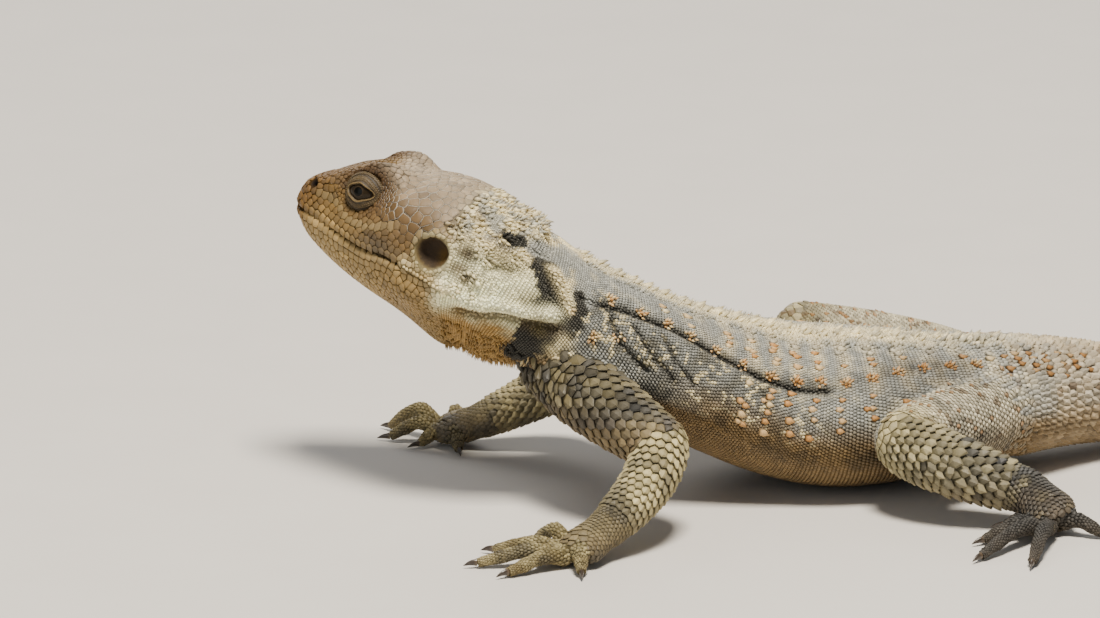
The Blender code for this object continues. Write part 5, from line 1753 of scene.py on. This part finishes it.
def finish_skin(skin, body, tones, names, material):
    """Colours the skin as its scales and lays it flat for baking."""
    mesh = skin.data
    points = mesh_points(mesh)
    part, along, turn, _ = body.locate(points)
    colour = paint(tones, points, part, along, turn, names)
    # The skin darkened against its scales: painted shade in the gaps.
    put_colour(mesh, colour * skin_shade(points, along)[:, None])
    corners = corner_points(mesh).reshape(-1, 3)
    own = part[corners[:, 0]]
    first = turn[corners[:, :1]]
    turns = first + (turn[corners] - first + math.pi) % (2 * math.pi) - math.pi
    edge = unwrap(np.repeat(own, 3), along[corners].ravel(), np.full(corners.size, -math.pi / 2))
    span = np.where(own == 0, TRUNK_SPAN, np.where(own <= LIMB_LENGTHS, LIMB_SPAN, DIGIT_SPAN))[:, None]
    base = (first + math.pi / 2) % (2 * math.pi) + (turns - first)
    edge[:, 1] += (base / (2 * math.pi) * span).ravel()
    put_map(mesh, edge)
    mesh.materials.clear()
    mesh.materials.append(material)


def lid_place(side, polar, turn, reach):
    """A point over the eye: angle away from the gaze, turn round it and distance from the eye's centre."""
    gaze, along, up = gaze_axes(side)
    longer = 1 + 0.22 * np.clip(np.cos(turn), 0, 1) * ramp(polar, 0.6, 1.4)
    out = (np.cos(turn) * longer)[..., None] * along + np.sin(turn)[..., None] * up
    return eye_centre(side) + reach * (np.cos(polar)[..., None] * gaze + np.sin(polar)[..., None] * out)


def lid_opening(turn):
    """Angle from the gaze to the edge of the lids."""
    length, height = 2.3, np.where(np.sin(turn) > 0, 1.3, 1.45)
    base = 1.0 / np.sqrt((np.cos(turn) / length) ** 2 + (np.sin(turn) / height) ** 2)
    return np.arcsin(base * (1.0 - 0.12 * np.sin(2 * turn) ** 2) / 2.9)


# Angle from the gaze to the root of the lids.
LID_END = 1.48
# Share of the way from the edge of the lids to their root, distance from the eye's centre and paleness: a
# pale rim at the edge, then paler ridges with painted shade in the folds between them.
LID_LINE = (
    (0.0, 2.5, 0.1), (0.0, 2.8, 0.25), (0.02, 2.9, 0.6), (0.045, 2.95, 0.55), (0.07, 2.93, 0.2),
    (0.13, 2.9, 0.1), (0.26, 3.05, 0.25), (0.4, 3.15, 0.25), (0.47, 3.13, 0.1), (0.51, 3.0, 0.0),
    (0.56, 3.14, 0.12), (0.68, 3.3, 0.25), (0.8, 3.3, 0.1), (0.84, 3.16, 0.0), (0.89, 3.26, 0.1),
    (1.0, 3.2, 0.0),
)


def lid_polar(turn, share):
    """Angle from the gaze at a share of the way from the lids' edge to their root."""
    start = lid_opening(turn)
    return start + (LID_END - start) * share


def lid_tint(tones, rim):
    """Colour of the lids, from their dark skin to their pale rim."""
    return tones["lid"] + (tones["lid_rim"] - tones["lid"]) * rim


def build_lids(tones, material):
    """Rims and folds of skin round both eyes."""
    sides, turn = 80, even_angles(80)
    line = (*LID_LINE, (0.95, 2.75, 0.0), (0.4, 2.68, 0.0))
    points, faces, count = [], [], 0
    for side in (1, -1):
        points += [lid_place(side, lid_polar(turn, share), turn, reach) for share, reach, _ in line]
        a = np.arange(len(line) * sides).reshape(len(line), sides) + count
        b = np.roll(a, -1, axis=1)
        squares = np.stack([a, b, np.roll(b, -1, axis=0), np.roll(a, -1, axis=0)], axis=-1)
        faces += squares.reshape(-1, 4).tolist()
        count += len(line) * sides
    lids = write_mesh("eyelids", np.concatenate(points), faces, material)
    rims = np.array([rim for _, _, rim in line])[:, None]
    put_colour(lids.data, np.tile(np.repeat(lid_tint(tones, rims), sides, axis=0), (2, 1)))
    return lids


def lid_roots(tones):
    """Fine scales in rings on the lids, and a row of pale beads along each rim."""
    made = []
    lines = (
        (0.04, 2.95, 0.18, 0.65), (0.22, 2.97, 0.27, 0.2), (0.32, 3.06, 0.3, 0.3), (0.43, 3.12, 0.3, 0.25),
        (0.62, 3.22, 0.32, 0.2), (0.73, 3.3, 0.34, 0.3), (0.94, 3.22, 0.36, 0.1),
    )
    for side in (1, -1):
        for share, reach, width, rim in lines:
            length = 2 * math.pi * reach * math.sin(float(lid_polar(even_angles(90), share).mean()))
            count = round(length / width)
            turn = (even_angles(count) + share * 7) % (2 * math.pi)
            place = lid_place(side, lid_polar(turn, share), turn, reach)
            behind = lid_place(side, lid_polar(turn, share + 0.02), turn, reach)
            tint = np.tile(lid_tint(tones, rim), (count, 1))
            back, out, high = in_head(place).T
            made.append(Roots(
                place=place, normal=unit(place - eye_centre(side)), lie=unit(behind - place),
                size=np.tile([width * 0.95, width, 0.09], (count, 1)), kind=np.full(count, GRANULE),
                part=np.zeros(count, int), along=back + 0.5, turn=np.arctan2(high, out),
                tint=tint * (1 + 0.2 * np.sin(np.arange(count) * 2.4))[:, None], form=np.zeros((count, 3)),
            ))
    return Roots.join(made)


def build_eyes(material):
    """Both eyeballs, each turned along its gaze."""
    sides, turn = 48, even_angles(48)
    polar = np.linspace(0.0, math.pi, 30)[1:-1]
    balls = Parts()
    for side in (1, -1):
        gaze, along, up = gaze_axes(side)
        around = np.outer(np.cos(turn), along) + np.outer(np.sin(turn), up)
        rings = []
        for p in polar:
            reach = 2.56 + 0.1 * math.exp(-((p / 0.45) ** 2))
            rings.append(eye_centre(side) + reach * (math.cos(p) * gaze + math.sin(p) * around))
        balls.tube(rings)
    eyes = write_mesh("eyes", np.concatenate(balls.points), balls.faces, material)
    away = np.repeat(np.where(polar < math.pi / 2, np.sin(polar), 1.0), sides)
    put(eyes.data, "away", "FLOAT", [*away, 0.0, 1.0] * 2)
    put(eyes.data, "spoke", "FLOAT", [*np.tile(turn, len(polar)), 0.0, 0.0] * 2)
    return eyes


def build_claws(material):
    """Twenty curved claws, deeper than they are wide."""
    sides, parts, rises = 12, Parts(), []
    for _, _, _, _, claw in all_digits():
        claw = through(np.linspace(0, 1, len(claw)), claw, np.linspace(0, 1, 13))
        claw = np.concatenate([[claw[0] * 1.5 - claw[1] * 0.5], claw])
        share = np.linspace(0.0, 1.0, len(claw))
        claw[:, 2] += 0.35 * np.sin(share * math.pi * 0.8) * (1 - share * 0.6)
        rings = pipe_rings(claw, 0.52 * (1 - share**1.5) + 0.05, sides, 0.05)
        across = unit(np.cross(claw[-1] - claw[0], [0, 0, 1.0]))
        parts.tube(rings - 0.3 * ((rings - claw[:, None]) @ across)[..., None] * across)
        rises += [*np.repeat(share, sides), 0.0, 1.0]
    claws = write_mesh("claws", np.concatenate(parts.points), parts.faces, material)
    put(claws.data, "rise", "FLOAT", rises)
    return claws


class AgamaSizes(PropertyGroup):
    """Sizes of the skin and its scales."""

    skin_voxel: FloatProperty(
        name="Skin grain", description="Edge of the cells that the skin is fused from",
        default=0.00034, unit="LENGTH",
    )
    skin_faces: IntProperty(
        name="Skin faces", description="Most triangles that the skin keeps", default=186000,
    )
    scale_size: FloatProperty(
        name="Scale size", description="Size of the small scales against their places", default=1.06,
    )
    scale_variation: FloatProperty(
        name="Size variation", description="How far small scales differ in size", default=0.1,
    )
    seed: IntProperty(
        name="Seed", description="Start of the small scales' random sizes", default=7,
    )


def tone(name, label, red, green, blue):
    """A colour of the animal, given as the eye sees it."""
    return FloatVectorProperty(name=name, description=label, subtype="COLOR", size=3, min=0.0, max=1.0,
                               default=[(v / 255) ** 2.2 for v in (red, green, blue)])


class AgamaTones(PropertyGroup):
    """Colours of the animal."""

    grey_back: tone("Back", "Blue grey of the fine scales of the back", 146, 147, 140)
    cream: tone("Cream", "Pale bands of back and neck", 230, 215, 168)
    white: tone("Fold", "White edge of the neck fold", 254, 250, 206)
    # Charcoal is also laid as painted shade in the flank and shoulder folds and beside the rear rosettes.
    charcoal: tone("Charcoal", "Dark of the flank and the neck patches", 50, 49, 44)
    belly: tone("Belly", "Tan of the belly", 121, 100, 68)
    sand: tone("Sand", "Hips and root of the tail", 170, 152, 122)
    # Brown is also laid as painted shade under the neck fold and in the painted shadow of the rear flank;
    # brow in tones_of is a darker copy of it.
    brown: tone("Brown", "Brows, flecks and tail rings", 84, 60, 32)
    orange: tone("Orange", "Spiny clusters and tubercles", 184, 134, 78)
    throat: tone("Throat", "Throat pouch", 158, 126, 72)
    # Top of the head: its own pale grey, partly a painted highlight.
    crown: tone("Crown", "Top of the head", 166, 150, 125)
    temple: tone("Temples", "Plates between eye and ear", 98, 78, 54)
    cheek: tone("Cheek", "Cheeks and the side of the snout", 106, 82, 41)
    jaw: tone("Jaw", "Lower jaw", 152, 127, 80)
    snout: tone("Snout", "Tip of the snout", 96, 70, 31)
    lid: tone("Lids", "Lids round the eyes", 31, 24, 12)
    lid_rim: tone("Lid rims", "Pale rims of the lids", 136, 112, 68)
    # Painted shade for the nostrils and the hollow behind the ear.
    pit: tone("Pits", "Nostrils and pits", 26, 18, 12)
    drum: tone("Ear drums", "Ear drums", 60, 50, 40)
    limb: tone("Limbs", "Scales of the forearms and knees", 174, 162, 120)
    olive: tone("Olive", "Upper arms and hands", 103, 93, 63)
    thigh: tone("Thighs", "Pale fine scales of the thighs", 188, 181, 158)
    slate: tone("Slate", "Shanks, feet and darker patches", 56, 56, 55)


def tones_of(context):
    """The animal's colours as numbers."""
    group = context.scene.agama_tones
    tones = {name: np.array(getattr(group, name)) for name in AgamaTones.__annotations__}
    # brow is a darker copy of brown, laid as painted shade in the hollow round the eye.
    return {**tones, "brow": 0.72 * tones["brown"]}


PART_NAMES = [name for name, _, _ in limb_parts()]
COAT_NAMES = ("neck_scales", "near_chest_scales", "far_chest_scales",
              "near_belly_scales", "far_belly_scales", "digit_scales")
# The skin and what is known of it, for the scales that follow.
MADE = {}


class AGAMA_OT_skin(Operator):
    """Build the skin over the solids of the flesh"""

    bl_idname = "agama.skin"
    bl_label = "Skin"

    def execute(self, context):
        skin = build_skin(context.scene.agama_sizes)
        body = Body(skin)
        press_folds(skin, body)
        finish_skin(skin, body, tones_of(context), PART_NAMES, skin_finish())
        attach(skin, "root")
        flesh = ["head", "neck", "torso", "tail_base", "tail_middle", "tail_tip"]
        flesh += [node for limb in LIMBS.values() for node in limb["nodes"]]
        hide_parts(*flesh)
        MADE.update(skin=skin, body=body)
        return {"FINISHED"}


class AGAMA_OT_scales(Operator):
    """Cover the skin with plates, keeled scales, granules and spines"""

    bl_idname = "agama.scales"
    bl_label = "Scales"

    def execute(self, context):
        tones, sizes, body = tones_of(context), context.scene.agama_sizes, MADE["body"]
        roots = Coat(MADE["skin"], body).roots(tones, PART_NAMES)
        tint_spines(roots, tones)
        finish = scale_finish()
        plate, trunk, leg = roots.kind == PLATE, roots.part == 0, (roots.part - 1) // 2 >= 2
        regions = {
            "head_plates": trunk & (roots.along < NECK_END),
            "tail_plates": trunk & (roots.along >= NECK_END),
            "arm_plates": ~trunk & ~leg,
            "leg_plates": ~trunk & leg,
        }
        pieces = [build_plates(name, roots, np.nonzero(plate & pick)[0], body, finish)
                  for name, pick in regions.items()]
        tree, shapes = coat_tree(finish), templates()
        every = Roots.join([roots, lid_roots(tones)])
        stretch = np.where(every.along < CHEST_END, 1, 3) + (np.cos(every.turn) <= 0)
        region = np.where(every.part > 0, 5, np.where(every.along < NECK_END, 0, stretch))
        for index, name in enumerate(COAT_NAMES):
            pick = np.nonzero((every.kind != PLATE) & (region == index))[0]
            pieces.append(build_coat(name, every, pick, tree, shapes, sizes))
        for obj in list(shapes.objects):
            bpy.data.objects.remove(obj)
        for piece in pieces:
            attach(piece, "root")
        return {"FINISHED"}


class AGAMA_OT_eyes(Operator):
    """Set the eyes and their lids"""

    bl_idname = "agama.eyes"
    bl_label = "Eyes"

    def execute(self, context):
        eyes = build_eyes(eye_finish())
        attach(eyes, "root")
        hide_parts("eye_left", "eye_right")
        lids = build_lids(tones_of(context), lid_finish())
        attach(lids, "root")
        return {"FINISHED"}


class AGAMA_OT_claws(Operator):
    """Set a claw on every digit"""

    bl_idname = "agama.claws"
    bl_label = "Claws"

    def execute(self, context):
        claws = build_claws(claw_finish())
        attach(claws, "root")
        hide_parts(*[name for name in frame["nodes"] if name.startswith("claw_")])
        return {"FINISHED"}


class AGAMA_OT_stage(Operator):
    """Set the floor, the lights and the camera"""

    bl_idname = "agama.stage"
    bl_label = "Stage"

    def execute(self, context):
        build_stage(floor_finish())
        return {"FINISHED"}


class AGAMA_PT_panel(Panel):
    """Lists the pieces and the values that they are made from"""

    bl_idname = "AGAMA_PT_panel"
    bl_label = "Starred agama"
    bl_space_type = "VIEW_3D"
    bl_region_type = "UI"
    bl_category = "Agama"

    def draw(self, context):
        for operator in OPERATORS:
            self.layout.operator(operator.bl_idname)
        for group in (context.scene.agama_sizes, context.scene.agama_tones):
            for name in type(group).__annotations__:
                self.layout.prop(group, name)


def build_stage(material):
    """A pale floor, soft lights and the camera at the photograph's angle."""
    floor = bpy.data.meshes.new("floor")
    floor.from_pydata([(-3, -3, 0), (3, -3, 0), (3, 3, 0), (-3, 3, 0)], [], [(0, 1, 2, 3)])
    floor.materials.append(material)
    obj = put_object("floor", floor)
    camera = bpy.data.cameras.new("camera")
    camera.sensor_width = 36.0
    camera.lens = 36.0 * CAMERA_DISTANCE / PICTURE_WIDTH
    camera.clip_start, camera.clip_end = 0.05, 20.0
    view = put_object("camera", camera)
    rise = math.radians(CAMERA_RISE)
    away = CAMERA_DISTANCE * np.array([0.0, -math.cos(rise), math.sin(rise)])
    view.location = (LOOK_AT - ORIGIN) * MM + away
    view.rotation_euler = (math.pi / 2 - rise, 0.0, 0.0)
    bpy.context.scene.camera = view
    for name, place, energy, size, colour in (
        ("key", (0.0, -0.36, 1.15), 31.5, 0.3, (1.0, 0.92, 0.80)),
        ("fill", (-0.9, -1.0, 0.5), 3.4, 1.0, (0.90, 0.95, 1.0)),
        ("rim", (-0.3, 0.9, 0.6), 4.0, 0.6, (1.0, 0.97, 0.92)),
    ):
        lamp = bpy.data.lights.new(name, "AREA")
        lamp.energy, lamp.size, lamp.color = energy, size, colour
        light = put_object(name, lamp)
        light.location = place
        light.rotation_euler = Vector(-np.array(place)).to_track_quat("-Z", "Y").to_euler()
    world = bpy.data.worlds.new("room")
    world.use_nodes = True
    background = world.node_tree.nodes["Background"]
    background.inputs[0].default_value = (0.9, 0.93, 1.0, 1.0)
    background.inputs[1].default_value = 0.24
    bpy.context.scene.world = world


OPERATORS = (AGAMA_OT_skin, AGAMA_OT_scales, AGAMA_OT_eyes, AGAMA_OT_claws, AGAMA_OT_stage)
CLASSES = (AgamaSizes, AgamaTones, *OPERATORS, AGAMA_PT_panel)


def register():
    """Adds the operators, the panel and the two groups of values."""
    for cls in CLASSES:
        bpy.utils.register_class(cls)
    bpy.types.Scene.agama_sizes = PointerProperty(type=AgamaSizes)
    bpy.types.Scene.agama_tones = PointerProperty(type=AgamaTones)


def unregister():
    """Takes them away again."""
    del bpy.types.Scene.agama_sizes
    del bpy.types.Scene.agama_tones
    for cls in reversed(CLASSES):
        bpy.utils.unregister_class(cls)


def main():
    """Registers the classes and builds every piece."""
    register()
    bpy.ops.agama.skin()
    bpy.ops.agama.scales()
    bpy.ops.agama.eyes()
    bpy.ops.agama.claws()
    bpy.ops.agama.stage()


if __name__ == "__main__":
    main()
